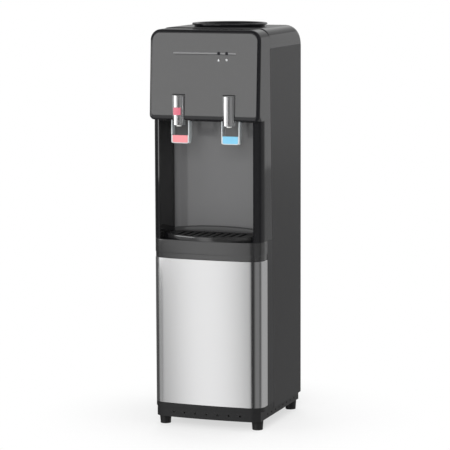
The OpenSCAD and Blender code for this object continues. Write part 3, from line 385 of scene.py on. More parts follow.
def skin(name, points, finish, node, closed_u=False, closed_v=False, caps=False, keep=None, facing=None,
         inside=False, wall=0.0, edge=0.0):
    """A surface through a grid of points P[u, v] in millimetres, each cell one face, cells that keep
    rules out left open. It turns its faces away from the point facing, towards it where inside is set, or
    outwards where it is closed. wall gives it a thickness behind its faces and edge rounds its sharp
    edges, both in millimetres."""
    points = np.asarray(points, dtype=float)
    count_u, count_v = points.shape[:2]
    u = np.arange(count_u if closed_u else count_u - 1)
    v = np.arange(count_v if closed_v else count_v - 1)
    at_u, at_v = np.meshgrid(u, v, indexing="ij")
    next_u = (at_u + 1) % count_u
    next_v = (at_v + 1) % count_v
    quads = np.stack([at_u * count_v + at_v, next_u * count_v + at_v,
                      next_u * count_v + next_v, at_u * count_v + next_v], axis=-1)
    if keep is not None:
        quads = quads[keep]
    faces = quads.reshape(-1, 4).tolist()
    if caps:
        faces.append(list(range(count_v))[::-1])
        faces.append(list(range((count_u - 1) * count_v, count_u * count_v)))
    mesh = bpy.data.meshes.new(name)
    mesh.from_pydata((points.reshape(-1, 3) * MM).tolist(), [], faces)
    work = bmesh.new()
    work.from_mesh(mesh)
    bmesh.ops.remove_doubles(work, verts=work.verts, dist=0.002 * MM)
    bmesh.ops.dissolve_degenerate(work, edges=work.edges, dist=0.001 * MM)
    loose = [vert for vert in work.verts if not vert.link_faces]
    bmesh.ops.delete(work, geom=loose, context="VERTS")
    bmesh.ops.recalc_face_normals(work, faces=work.faces)
    if facing is not None:
        inner = Vector(np.asarray(facing, dtype=float) * MM)
        side = sum(face.calc_area() * face.normal.dot(face.calc_center_median() - inner)
                   for face in work.faces)
        if (side < 0.0) != inside:
            bmesh.ops.reverse_faces(work, faces=work.faces)
    work.to_mesh(mesh)
    work.free()
    return finished(name, mesh, finish, node, wall, edge)


def finished(name, mesh, finish, node, wall=0.0, edge=0.0):
    """Puts a mesh into the scene for a CAD node, with its finish, body, thickness and soft edges."""
    mesh.polygons.foreach_set("use_smooth", np.ones(len(mesh.polygons), dtype=bool))
    mesh.materials.clear()
    mesh.materials.append(FINISHES[finish])
    mesh.set_sharp_from_angle(angle=SMOOTH_BELOW)
    piece = bpy.data.objects.new(name, mesh)
    bpy.context.scene.collection.objects.link(piece)
    if wall:
        thick = piece.modifiers.new("Wall", "SOLIDIFY")
        thick.thickness = wall * MM
        thick.offset = -1.0
        thick.use_even_offset = True
    if edge:
        rounding = piece.modifiers.new("Rounded edges", "BEVEL")
        rounding.width = edge * MM
        rounding.segments = 3
        rounding.limit_method = "ANGLE"
        rounding.angle_limit = ROUNDED_ABOVE
        rounding.harden_normals = True
    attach(piece, NODE_BODY[node])
    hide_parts(node)
    return piece


def block(low, high):
    """The four corners of a rectangle."""
    return [low, (high[0], low[1]), high, (low[0], high[1])]


def mirrored(points):
    """A line mirrored to the left side and run the other way."""
    return points[::-1] * (-1.0, 1.0)


def arc(centre, radius, start, end, steps):
    """Points round a centre from one angle to another, in degrees."""
    angle = np.radians(np.linspace(start, end, steps))
    return np.stack([centre[0] + radius * np.cos(angle), centre[1] + radius * np.sin(angle)], axis=-1)


def line(a, b, steps):
    """Evenly spaced points from a to b, without b."""
    t = np.linspace(0.0, 1.0, steps, endpoint=False)[:, None]
    return (1.0 - t) * np.asarray(a, dtype=float) + t * np.asarray(b, dtype=float)


def rounded(corners, radii, steps=5, closed=True):
    """A line through corners, each cut by a curve between two points at a distance radius from it, which is
    (1-t)^2 A + 2t(1-t) B + t^2 C."""
    corners = np.asarray(corners, dtype=float)
    count = len(corners)
    radii = np.broadcast_to(radii, count)
    t = np.linspace(0.0, 1.0, steps)[:, None]
    out = []
    for i in range(count):
        here = corners[i]
        if radii[i] <= 0.0 or (not closed and i in (0, count - 1)):
            out.append(here[None, :])
            continue
        before = corners[i - 1] - here
        after = corners[(i + 1) % count] - here
        start = here + before / np.linalg.norm(before) * min(radii[i], 0.49 * np.linalg.norm(before))
        end = here + after / np.linalg.norm(after) * min(radii[i], 0.49 * np.linalg.norm(after))
        out.append((1 - t) ** 2 * start + 2 * t * (1 - t) * here + t ** 2 * end)
    return np.concatenate(out)


def plan_lay(points, height):
    """Lays an outline drawn in plan at a height."""
    return np.column_stack([points, np.full(len(points), height)])


def front_lay(points, depth):
    """Lays an outline drawn as seen from the front at a depth."""
    return np.column_stack([points[:, 0], np.full(len(points), depth), points[:, 1]])


def side_lay(points, across):
    """Lays an outline drawn as seen from the side at a place across."""
    return np.column_stack([np.full(len(points), across), points])


def face_lay(points, depth):
    """Lays an outline on the head's leaning face, at a depth behind it."""
    y = depth * np.cos(FACE_LEAN) + points[:, 1] * np.sin(FACE_LEAN)
    z = points[:, 1] * np.cos(FACE_LEAN) - depth * np.sin(FACE_LEAN)
    return np.column_stack([points[:, 0], FACE_Y + y, HEAD_Z + z])


def inward(outline):
    """The step that moves a closed line in by 1: the sum of its two edges' inner normals at each point,
    over 1 plus their product."""
    edge = np.roll(outline, -1, axis=0) - outline
    edge /= np.maximum(np.linalg.norm(edge, axis=1, keepdims=True), 1e-9)
    area = np.sum(outline[:, 0] * np.roll(outline[:, 1], -1) - np.roll(outline[:, 0], -1) * outline[:, 1])
    normal = np.stack([-edge[:, 1], edge[:, 0]], axis=-1) * np.sign(area)
    before = np.roll(normal, 1, axis=0)
    product = np.sum(normal * before, axis=1, keepdims=True)
    return (normal + before) / np.maximum(1.0 + product, 0.3)


def slab(name, outline, low, high, edge, finish, node, lay=plan_lay, upper=None, steps=5):
    """A flat solid on a closed outline: rings that move in as edge (1 - sin a) and rise as edge (1 - cos a)
    round both rims, with a flat cap on each. upper is the outline at the high end where it differs."""
    outline = np.asarray(outline, dtype=float)
    upper = outline if upper is None else np.asarray(upper, dtype=float)
    turn = np.linspace(0.0, np.pi / 2.0, steps)
    inset = edge * (1.0 - np.sin(turn))
    rise = edge * (1.0 - np.cos(turn))
    sign = np.sign(high - low)
    insets = np.concatenate([[edge + 0.06], inset, inset[::-1], [edge + 0.06]])
    places = np.concatenate([[low], low + sign * rise, high - sign * rise[::-1], [high]])
    share = ((places - low) / (high - low))[:, None, None]
    rings = (1.0 - share) * outline + share * upper
    move = (1.0 - share) * inward(outline) + share * inward(upper)
    rings = rings + move * insets[:, None, None]
    points = np.array([lay(ring, place) for ring, place in zip(rings, places)])
    return skin(name, points, finish, node, closed_v=True, caps=True)


def lathe(name, profile, centre, finish, node, steps=96, axis="Z", ribs=0, rib_depth=0.0, rib_from=0.0):
    """A profile of (radius, height) carried round an axis; with ribs, the radius beyond rib_from goes in and
    out as the cosine of ribs times the angle."""
    profile = np.asarray(profile, dtype=float)
    angle = np.linspace(0.0, 2.0 * np.pi, steps, endpoint=False)[:, None]
    radius = np.broadcast_to(profile[None, :, 0], (steps, len(profile))).copy()
    if ribs:
        ribbed = radius > rib_from
        radius = np.where(ribbed, radius + rib_depth * (np.cos(ribs * angle) - 1.0) / 2.0, radius)
    a, b = radius * np.cos(angle), radius * np.sin(angle)
    h = np.broadcast_to(profile[None, :, 1], a.shape)
    points = np.stack({"Z": [a, b, h], "Y": [a, h, b], "X": [h, a, b]}[axis], axis=-1)
    return skin(name, points + np.asarray(centre, dtype=float), finish, node, closed_u=True)


def tube(name, path, radius, finish, node, ref=(0.31, 0.52, 0.8)):
    """A round tube along a path: each ring stands square to the path's direction there, on two axes made
    with the cross product of that direction and a fixed one that the path never takes."""
    path = np.asarray(path, dtype=float)
    ahead = np.gradient(path, axis=0)
    ahead /= np.linalg.norm(ahead, axis=1, keepdims=True)
    first = np.cross(ahead, np.asarray(ref, dtype=float))
    first /= np.linalg.norm(first, axis=1, keepdims=True)
    second = np.cross(ahead, first)
    angle = np.linspace(0.0, 2.0 * np.pi, TUBE_SIDES, endpoint=False)[None, :, None]
    circle = np.cos(angle) * first[:, None, :] + np.sin(angle) * second[:, None, :]
    return skin(name, path[:, None, :] + radius * circle, finish, node, closed_v=True, caps=True)


def front_plan(inset, back):
    """The cabinet's front in plan, from the left side round to the right, moved in by inset: two corner arcs
    joined by a shallow bow, with straight sides that reach back to the depth back."""
    side = HALF - inset
    left = arc((-BOW_X, CORNER_Y), CORNER_R - inset, -180.0, -90.0 - BOW_END, 28)
    bow = arc((0.0, BOW_Y), BOW_R - inset, -90.0 - BOW_END, -90.0 + BOW_END, 49)[1:-1]
    right = arc((BOW_X, CORNER_Y), CORNER_R - inset, -90.0 + BOW_END, 0.0, 28)
    return np.concatenate([line((-side, back), left[0], 6), left, bow, right,
                           line(right[-1], (side, back), 6)[1:], [[side, back]]])


def front_edge(x, inset=0.0):
    """Depth of the cabinet's front at a place across: the bow's circle, or the corner's beyond it."""
    x = np.abs(np.asarray(x, dtype=float))
    bow = BOW_Y - np.sqrt((BOW_R - inset) ** 2 - x ** 2)
    limit = (BOW_R - inset) * np.sin(np.radians(BOW_END))
    corner = CORNER_Y - np.sqrt(np.maximum((CORNER_R - inset) ** 2 - (x - BOW_X) ** 2, 0.0))
    return np.where(x < limit, bow, corner)


def seam_depth(z):
    """Depth of the slanted seam between the moulded front and the steel sides."""
    return FRONT_Y + SEAM_BACK - SEAM_RUN * (z - PANEL_Z) / (COVER_Z - PANEL_Z)


def wrapped(name, section, finish, node, back):
    """A wall that follows the cabinet's front: each point (inset, height) of a closed section is carried
    along the plan moved in by that inset."""
    section = np.asarray(section, dtype=float)
    rows = [plan_lay(front_plan(inset, back), height) for inset, height in section]
    return skin(name, np.stack(rows, axis=1), finish, node, closed_v=True, caps=True)


def dress(finish, *nodes):
    """Gives CAD solids that stay as they are a finish."""
    for node in nodes:
        item = frame["nodes"][node]
        if not item.material_slots:
            item.data.materials.append(FINISHES[finish])
        for slot in item.material_slots:
            slot.material = FINISHES[finish]


class CoolerSizes(bpy.types.PropertyGroup):
    """Sizes that the looks add to the frame."""

    panel_edge: bpy.props.FloatProperty(
        name="Panel edge", description="Radius of the silver panel's rounded rims",
        default=0.0008, min=0.0002, max=0.001, precision=4, subtype="DISTANCE", unit="LENGTH")
    lens_radius: bpy.props.FloatProperty(
        name="Lens radius", description="Radius of the two lamp lenses with their rims",
        default=0.0038, min=0.0018, max=0.0045, precision=4, subtype="DISTANCE", unit="LENGTH")
    sign_size: bpy.props.FloatProperty(
        name="Sign size", description="Height of the two printed signs under the lamps",
        default=0.0066, min=0.003, max=0.008, precision=4, subtype="DISTANCE", unit="LENGTH")
    lock_ribs: bpy.props.FloatProperty(
        name="Lock ribs", description="Height of the grip ribs on the child lock",
        default=0.00025, min=0.0, max=0.0006, precision=5, subtype="DISTANCE", unit="LENGTH")


class CoolerColours(bpy.types.PropertyGroup):
    """Colours of the finishes."""

    gloss: bpy.props.FloatVectorProperty(
        name="Gloss black", description="Polished mouldings", subtype="COLOR", size=3,
        default=(0.008, 0.008, 0.009), min=0.0, max=1.0)
    satin: bpy.props.FloatVectorProperty(
        name="Satin black", description="Grained mouldings", subtype="COLOR", size=3,
        default=(0.014, 0.014, 0.0145), min=0.0, max=1.0)
    face: bpy.props.FloatVectorProperty(
        name="Face grey", description="Smoked face plate of the head", subtype="COLOR", size=3,
        default=(0.03, 0.03, 0.0305), min=0.0, max=1.0)
    bay: bpy.props.FloatVectorProperty(
        name="Bay grey", description="Polished lining of the dispensing bay", subtype="COLOR", size=3,
        default=(0.115, 0.115, 0.117), min=0.0, max=1.0)
    band: bpy.props.FloatVectorProperty(
        name="Band grey", description="Band under the bay and the lip of the tray", subtype="COLOR", size=3,
        default=(0.02, 0.02, 0.0205), min=0.0, max=1.0)
    sides: bpy.props.FloatVectorProperty(
        name="Side steel", description="Powder-coated side panels", subtype="COLOR", size=3,
        default=(0.025, 0.025, 0.026), min=0.0, max=1.0)
    silver: bpy.props.FloatVectorProperty(
        name="Silver", description="Brushed lower front panel", subtype="COLOR", size=3,
        default=(0.92, 0.92, 0.925), min=0.0, max=1.0)
    hot: bpy.props.FloatVectorProperty(
        name="Hot insert", description="Insert of the hot paddle", subtype="COLOR", size=3,
        default=(0.69, 0.24, 0.26), min=0.0, max=1.0)
    cold: bpy.props.FloatVectorProperty(
        name="Cold insert", description="Insert of the cold paddle", subtype="COLOR", size=3,
        default=(0.18, 0.46, 0.64), min=0.0, max=1.0)


class COOLER_OT_finishes(bpy.types.Operator):
    """Makes every finish of the cooler"""
    bl_idname = "cooler.finishes"
    bl_label = "Finishes"

    def execute(self, context):
        paint = context.scene.cooler_colours
        polished_moulding("gloss_black", paint.gloss, 0.05, 0.0, 0.008)
        polished_moulding("top_gloss", paint.gloss, 0.03, 0.0, 0.004)
        polished_moulding("face_plate", paint.face, 0.06, 1.0, 0.004, 1.0)
        polished_moulding("ledge_grey", shade(paint.bay, 0.4), 0.12, 0.2, 0.01)
        # The bay's side walls and the ceiling's front, ahead of 90 mm, get painted shade
        polished_moulding("bay_lining", paint.bay, 0.05, 0.0, 0.004, 0.45, FRONT_Y + 90.0)
        polished_moulding("band_grey", paint.band, 0.14, 0.6, 0.01, 0.8)
        # Painted highlight: the light grey of the strip along the face's groove
        polished_moulding("painted_highlight_grey", (0.165, 0.165, 0.167), 0.3, 0.5)
        polished_moulding("lock_red", (0.56, 0.14, 0.19), 0.3)
        polished_moulding("rocker_red", (0.45, 0.01, 0.02), 0.2)
        polished_moulding("rocker_green", (0.02, 0.22, 0.06), 0.2)
        polished_moulding("pale_moulding", (0.74, 0.74, 0.72), 0.24)
        grained_moulding("satin_black", paint.satin)
        grained_moulding("moulded_front", paint.sides, 1400.0, 0.34, 0.3)
        grained_moulding("dark_moulding", (0.035, 0.035, 0.038), 1100.0, 0.42)
        powder_coat("side_steel", paint.sides)
        powder_coat("black_enamel", (0.014, 0.014, 0.015), 0.24, 0.5)
        brushed_metal("silver_panel", paint.silver, (0.008, 0.008, 1), 0.15, 0.0005, 1.0, 0.1)
        brushed_metal("tap_silver", (0.68, 0.68, 0.69), (1, 1, 0.02), 0.14, 0.0002, 0.9, 0.1)
        brushed_metal("stainless", (0.5, 0.5, 0.5), (0.02, 1, 1), 0.3, 0.02)
        drawn_tube("copper", (0.78, 0.36, 0.2))
        drawn_tube("heater_brass", (0.62, 0.5, 0.25), 0.35)
        beaded_foam("foam", (0.82, 0.82, 0.79))
        moulded_rubber("rubber", (0.02, 0.02, 0.02))
        milky_moulding("silicone", (0.72, 0.73, 0.72), 0.35, 0.1)
        milky_moulding("paddle_milk", (0.5, 0.53, 0.54))
        milky_moulding("hot_insert", paint.hot, 0.2, 0.1)
        milky_moulding("cold_insert", paint.cold, 0.2, 0.1)
        smoked_lens("lamp_lens", (0.012, 0.012, 0.014))
        marking_ink("pale_ink", (0.62, 0.63, 0.64))
        studio_paper("studio_paper")
        return {"FINISHED"}


def pillar_plan(side, z):
    """One pillar beside the bay in plan: the corner's arc from the bay's mouth back to the slanted seam, and
    the same arc a wall further in on the way back."""
    mouth = np.degrees(np.arccos((BAY_HALF - BOW_X) / CORNER_R))
    mouth_in = np.degrees(np.arccos((BAY_HALF - BOW_X) / (CORNER_R - WALL)))
    outer = arc((BOW_X, CORNER_Y), CORNER_R, -mouth, 0.0, 30)
    inner = arc((BOW_X, CORNER_Y), CORNER_R - WALL, 0.0, -mouth_in, 30)
    back = seam_depth(z)
    corners = np.concatenate([outer, [[HALF, back], [HALF - WALL, back]], inner])
    radii = np.zeros(len(corners))
    radii[[0, -1]] = 1.2
    return rounded(corners, radii) * (side, 1.0)


class COOLER_OT_cabinet(bpy.types.Operator):
    """Builds the silver panel, the moulded front, the feet, and dresses the plinth and the steel panels"""
    bl_idname = "cooler.cabinet"
    bl_label = "Cabinet"

    def execute(self, context):
        soft = context.scene.cooler_sizes.panel_edge / MM
        low, high = PANEL_LOW[2], PANEL_HIGH[2]
        section = rounded([(0.0, low), (0.0, high), (PANEL_T, high), (PANEL_T, low)], soft)
        wrapped("silver_wrap", section, "silver_panel", "lower_front_panel", WRAP_Y - SEAM_GAP)

        near, far = PANEL_T + 0.05, PANEL_T + WALL
        inner = [(near, PANEL_Z), (near, BAND_Z), (far, BAND_Z), (far, PANEL_Z)]
        wrapped("front_wall", inner, "moulded_front", "front_frame", WRAP_Y + 2.0)
        for side, word in SIDES:
            slab("pillar_" + word, pillar_plan(side, DECK_Z), DECK_Z, HEAD_Z, 0.3, "gloss_black",
                 "front_frame", upper=pillar_plan(side, HEAD_Z))
            low_strip, high_strip = (block((side * (HALF - WALL), WRAP_Y), (side * HALF, seam_depth(z)))
                                     for z in (PANEL_Z, DECK_Z))
            slab("side_strip_" + word, low_strip, PANEL_Z, DECK_Z, 0.3, "moulded_front", "front_frame",
                 upper=high_strip)
        dress("satin_black", "base_tray")
        dress("side_steel", "side_panel_left", "side_panel_right", "rear_panel")

        foot = rounded([(0.0, 3.0), (12.5, 3.0), (14.0, 22.0), (0.0, 22.0)], [0.0, 1.2, 0.3, 0.0])
        pad = rounded(block((0.0, 0.0), (12.5, 3.0)), [0.0, 1.0, 0.3, 0.0])
        places = [(x, y) for x in (20.0 - HALF, HALF - 20.0) for y in (FRONT_Y + 35.0, BACK_Y - 18.0)]
        for i, (x, y) in enumerate(places):
            lathe("foot_%d" % i, foot, (x, y, 0.0), "satin_black", "feet", 48)
            lathe("foot_pad_%d" % i, pad, (x, y, 0.0), "rubber", "foot_pads", 48)
        return {"FINISHED"}


def cover_levels():
    """The top cover as level lines. A level is c below the top; the drop beside the flat is s at the sides,
    on a circle of 25, and r at the rear, on a circle of 46, and a point of the level has s^2 + r^2 = c^2.
    Inside the last level the same drop is followed inwards to the well's round hole."""
    side_r, rear_r, height, hole_r = 25.0, 46.0, 47.0, 81.5
    flat_x = HALF - side_r
    flat_y = BACK_Y - rear_r

    def reach(drop, radius):
        return np.sqrt(np.maximum(radius ** 2 - (radius - np.minimum(drop, radius)) ** 2, 0.0))

    turn = np.linspace(0.0, np.pi / 2.0, 41)
    rows = []
    for c in np.concatenate([[height], rear_r * (1.0 - np.sin(np.linspace(0.0, 1.40, 26)))]):
        front = seam_depth(COVER_Z - c) + SEAM_GAP
        x = flat_x + reach(c * np.cos(turn), side_r)
        y = flat_y + reach(c * np.sin(turn), rear_r)
        right = side_lay(np.linspace(front, flat_y, 10, endpoint=False), x[0])
        rear = plan_lay(np.linspace(flat_x, -flat_x, 20)[1:-1], y[-1])
        corner = np.column_stack([x, y])
        face = plan_lay(np.linspace(-x[0], x[0], 20)[1:-1], front)
        outline = np.concatenate([right, corner, rear, mirrored(corner), mirrored(right), face])
        rows.append(plan_lay(outline, COVER_Z - c))
    edge = rows[-1]
    centre = np.array([0.0, WELL_Y])
    ray = edge[:, :2] - centre
    hole = centre + ray / np.linalg.norm(ray, axis=1, keepdims=True) * hole_r
    for t in (0.06, 0.14, 0.25, 0.4, 0.7, 1.0):
        spot = (1.0 - t) * edge[:, :2] + t * hole
        s = side_r - np.sqrt(side_r ** 2 - np.maximum(np.abs(spot[:, 0]) - flat_x, 0.0) ** 2)
        r = rear_r - np.sqrt(rear_r ** 2 - np.maximum(spot[:, 1] - flat_y, 0.0) ** 2)
        rows.append(np.column_stack([spot, COVER_Z - np.sqrt(s ** 2 + r ** 2)]))
    return np.array(rows)


class COOLER_OT_top_cover(bpy.types.Operator):
    """Builds the rounded top cover"""
    bl_idname = "cooler.top_cover"
    bl_label = "Top cover"

    def execute(self, context):
        skin("top_shell", cover_levels(), "top_gloss", "top_cover", closed_v=True,
             facing=(0.0, WELL_Y, COVER_Z - 60.0), wall=WALL, edge=0.3)
        return {"FINISHED"}


def plate_outline(half, low, high, low_r, high_r, bottom):
    """A rounded rectangle seen from the front, from its lower right corner over the top to its lower left
    one, and back along the bottom through the given points."""
    return np.concatenate([
        arc((half - low_r, low + low_r), low_r, -90.0, 0.0, 13),
        line((half, low + low_r), (half, high - high_r), 12)[1:],
        arc((half - high_r, high - high_r), high_r, 0.0, 90.0, 25),
        line((half - high_r, high), (high_r - half, high), 14)[1:],
        arc((high_r - half, high - high_r), high_r, 90.0, 180.0, 25),
        line((-half, high - high_r), (-half, low + low_r), 12)[1:],
        arc((low_r - half, low + low_r), low_r, 180.0, 270.0, 13),
        bottom])


def head_rows():
    """The head's skin as rings from the side seam forward: straight lines to the front's outline, a quarter
    round of radius RIM_R on to the leaning face, and the recess that the face plate lies in. Returns the
    rings and which cells stay, because the taps and paddles pass through its underside and rim."""
    lean_back = np.arctan(SEAM_RUN / (COVER_Z - PANEL_Z))
    cuts = TAP_X + np.array([-PADDLE_CUT, -NOTCH_HALF, 0.0, NOTCH_HALF, PADDLE_CUT])
    right_x = np.concatenate([[12.0], cuts, [FACE_END]])
    bottom_x = np.concatenate([-right_x[::-1], right_x])

    def outline(inset, low_r=12.0):
        return plate_outline(HALF - inset, inset, HEAD_H - inset, max(low_r - inset, 0.6), HEAD_R - inset,
                             plan_lay(bottom_x, inset))

    def ruled(t, low_r):
        flat = outline(0.0, low_r)
        back = np.column_stack([flat[:, 0], seam_depth(HEAD_Z) - flat[:, 1] * np.sin(lean_back),
                                HEAD_Z + flat[:, 1] * np.cos(lean_back)])
        return (1.0 - t) * back + t * face_lay(flat, RIM_R)

    def recess(inset):
        low = FACE_LOW + inset
        return plate_outline(HALF - RIM_R - inset, low, HEAD_H - RIM_R - 1.0 - inset, FACE_CORNER - inset,
                             FACE_TOP_R - inset, plan_lay(bottom_x, low))

    start, end = seam_depth(HEAD_Z), ruled(1.0, 12.0)[-1, 1]
    rear_cut = (PADDLE_BACK - start) / (end - start)
    front_cut = (FRONT_Y + 0.5 - start) / (end - start)
    rows = [ruled(t, low_r) for t, low_r in ((0.0, 0.6), (0.25, 0.6), (rear_cut, 0.6), (0.8, 0.8),
                                             (0.88, 4.0), (0.94, 8.5), (front_cut, 11.6))]
    turns = np.linspace(np.pi / 2.0, 0.0, 9)
    rows += [face_lay(outline(RIM_R * (1.0 - np.sin(a))), RIM_R * (1.0 - np.cos(a))) for a in turns]
    rows += [face_lay(recess(0.0), 0.0), face_lay(recess(0.0), 2.0), face_lay(recess(3.0), 2.0)]
    rows = np.array(rows)
    rows[:, :, 2] = np.maximum(rows[:, :, 2], HEAD_Z)

    count = rows.shape[1]
    flat = outline(0.0)
    middle = (flat[:, 0] + np.roll(flat[:, 0], -1)) / 2.0
    on_bottom = np.arange(count) >= count - len(bottom_x)
    keep = np.ones((len(rows) - 1, count), dtype=bool)
    from_tap = np.abs(np.abs(middle) - TAP_X)
    rear_row, front_row = 2, 6
    keep[rear_row:front_row] &= ~(on_bottom & (from_tap < PADDLE_CUT))
    keep[front_row:] &= ~(on_bottom & (from_tap < NOTCH_HALF))
    return rows, keep


def sign(name, outline, x):
    """A printed sign on the face plate under a lamp, a tenth of a millimetre thick."""
    slab(name, outline + (x, SIGN_Z), 0.03, -0.08, 0.03, "pale_ink", "head_face", face_lay, steps=2)


class COOLER_OT_head(bpy.types.Operator):
    """Builds the head, its face plate with the groove's painted highlight and painted shade, the lamps and
    their signs
    """
    bl_idname = "cooler.head"
    bl_label = "Head"

    def execute(self, context):
        size = context.scene.cooler_sizes
        rows, keep = head_rows()
        skin("head_moulding", rows, "gloss_black", "head_shell", closed_v=True, keep=keep,
             facing=(0.0, FRONT_Y + 40.0, HEAD_Z + 100.0), wall=WALL, edge=0.25)

        notch_top = 60.4
        notches = [(side * TAP_X + x, z) for side in (-1.0, 1.0) for x, z in
                   ((-NOTCH_HALF, FACE_LOW), (-NOTCH_HALF, notch_top), (NOTCH_HALF, notch_top),
                    (NOTCH_HALF, FACE_LOW))]
        bottom = [(-FACE_END, FACE_LOW)] + notches + [(FACE_END, FACE_LOW)]
        plate = plate_outline(HALF - RIM_R - 0.1, FACE_LOW, HEAD_H - RIM_R - 1.1, FACE_CORNER, FACE_TOP_R,
                              rounded(bottom, [0.0] + [1.4] * 8 + [0.0], closed=False))
        slab("face_plate", plate, 0.0, 2.0, 0.4, "face_plate", "head_face", face_lay)
        # The groove is drawn as two strips on the face: a light grey one, a painted highlight on its upper
        # edge,
        # and a gloss black one below it, painted shade on its lower edge
        groove = rounded(block((-77.0, 153.9), (77.0, 157.3)), 1.2)
        slab("groove_painted_highlight", groove, -0.15, 0.4, 0.14, "painted_highlight_grey", "head_face", face_lay, steps=3)
        # Painted shade: the gloss black strip under the groove's painted highlight
        lip = rounded(block((-76.0, 152.5), (77.0, 153.7)), 0.5)
        slab("groove_painted_shade", lip, -0.12, 0.4, 0.1, "gloss_black", "head_face", face_lay, steps=3)

        r = size.lens_radius / MM
        dome = arc((0.0, 0.0), r, -90.0, -4.0, 12) * (1.0, 0.62)
        lens = np.concatenate([[[0.0, -0.62 * r]], dome[1:], [[r, 0.4], [0.0, 0.4]]])
        for i, x in enumerate(LAMP_X):
            spot = face_lay(np.array([[x, LAMP_Z]]), 0.0)[0]
            lathe("lamp_%d" % i, lens, spot, "lamp_lens", "indicator_lenses", 40, "Y")
        half = size.sign_size / MM / 2.0
        drop = np.concatenate([[[0.0, half]], arc((0.0, -0.36 * half), 0.64 * half, 152.0, 388.0, 25)])
        arms = np.radians(np.arange(6) * 60.0 + 90.0)[:, None]
        spread = np.radians([-30.0, -8.0, 8.0])[None, :]
        length = half * np.array([0.26, 1.0, 1.0])[None, :]
        star = np.stack([length * np.cos(arms + spread), length * np.sin(arms + spread)], axis=-1)
        sign("sign_hot", drop, LAMP_X[0])
        sign("sign_cold", star.reshape(-1, 2), LAMP_X[1])
        return {"FINISHED"}


def bay_side(y):
    """Half the bay's width at a depth, where its sides draw in to the rear."""
    return BAY_HALF - BAY_DRAFT * (y - FRONT_Y + 1.0) / (BAY_DEPTH - BAY_R + 1.0)


def tray_plan(inset):
    """The drip tray in plan, moved in: a wide arc in front, straight sides and round rear corners."""
    r = TRAY_R - inset
    end = np.degrees(np.arcsin((TRAY_HALF - inset) / r))
    front = arc((0.0, TRAY_Y), r, -90.0 - end, -90.0 + end, 61)
    right = arc((TRAY_HALF - TRAY_CORNER, TRAY_BACK - TRAY_CORNER), TRAY_CORNER - inset, 0.0, 90.0, 11)
    left = mirrored(right)
    outline = np.concatenate([front, line(front[-1], right[0], 6)[1:], right,
                              line(right[-1], left[0], 12)[1:], left, line(left[-1], front[0], 6)[1:]])
    radii = np.zeros(len(outline))
    radii[[0, len(front) - 1]] = 3.0
    return rounded(outline, radii)


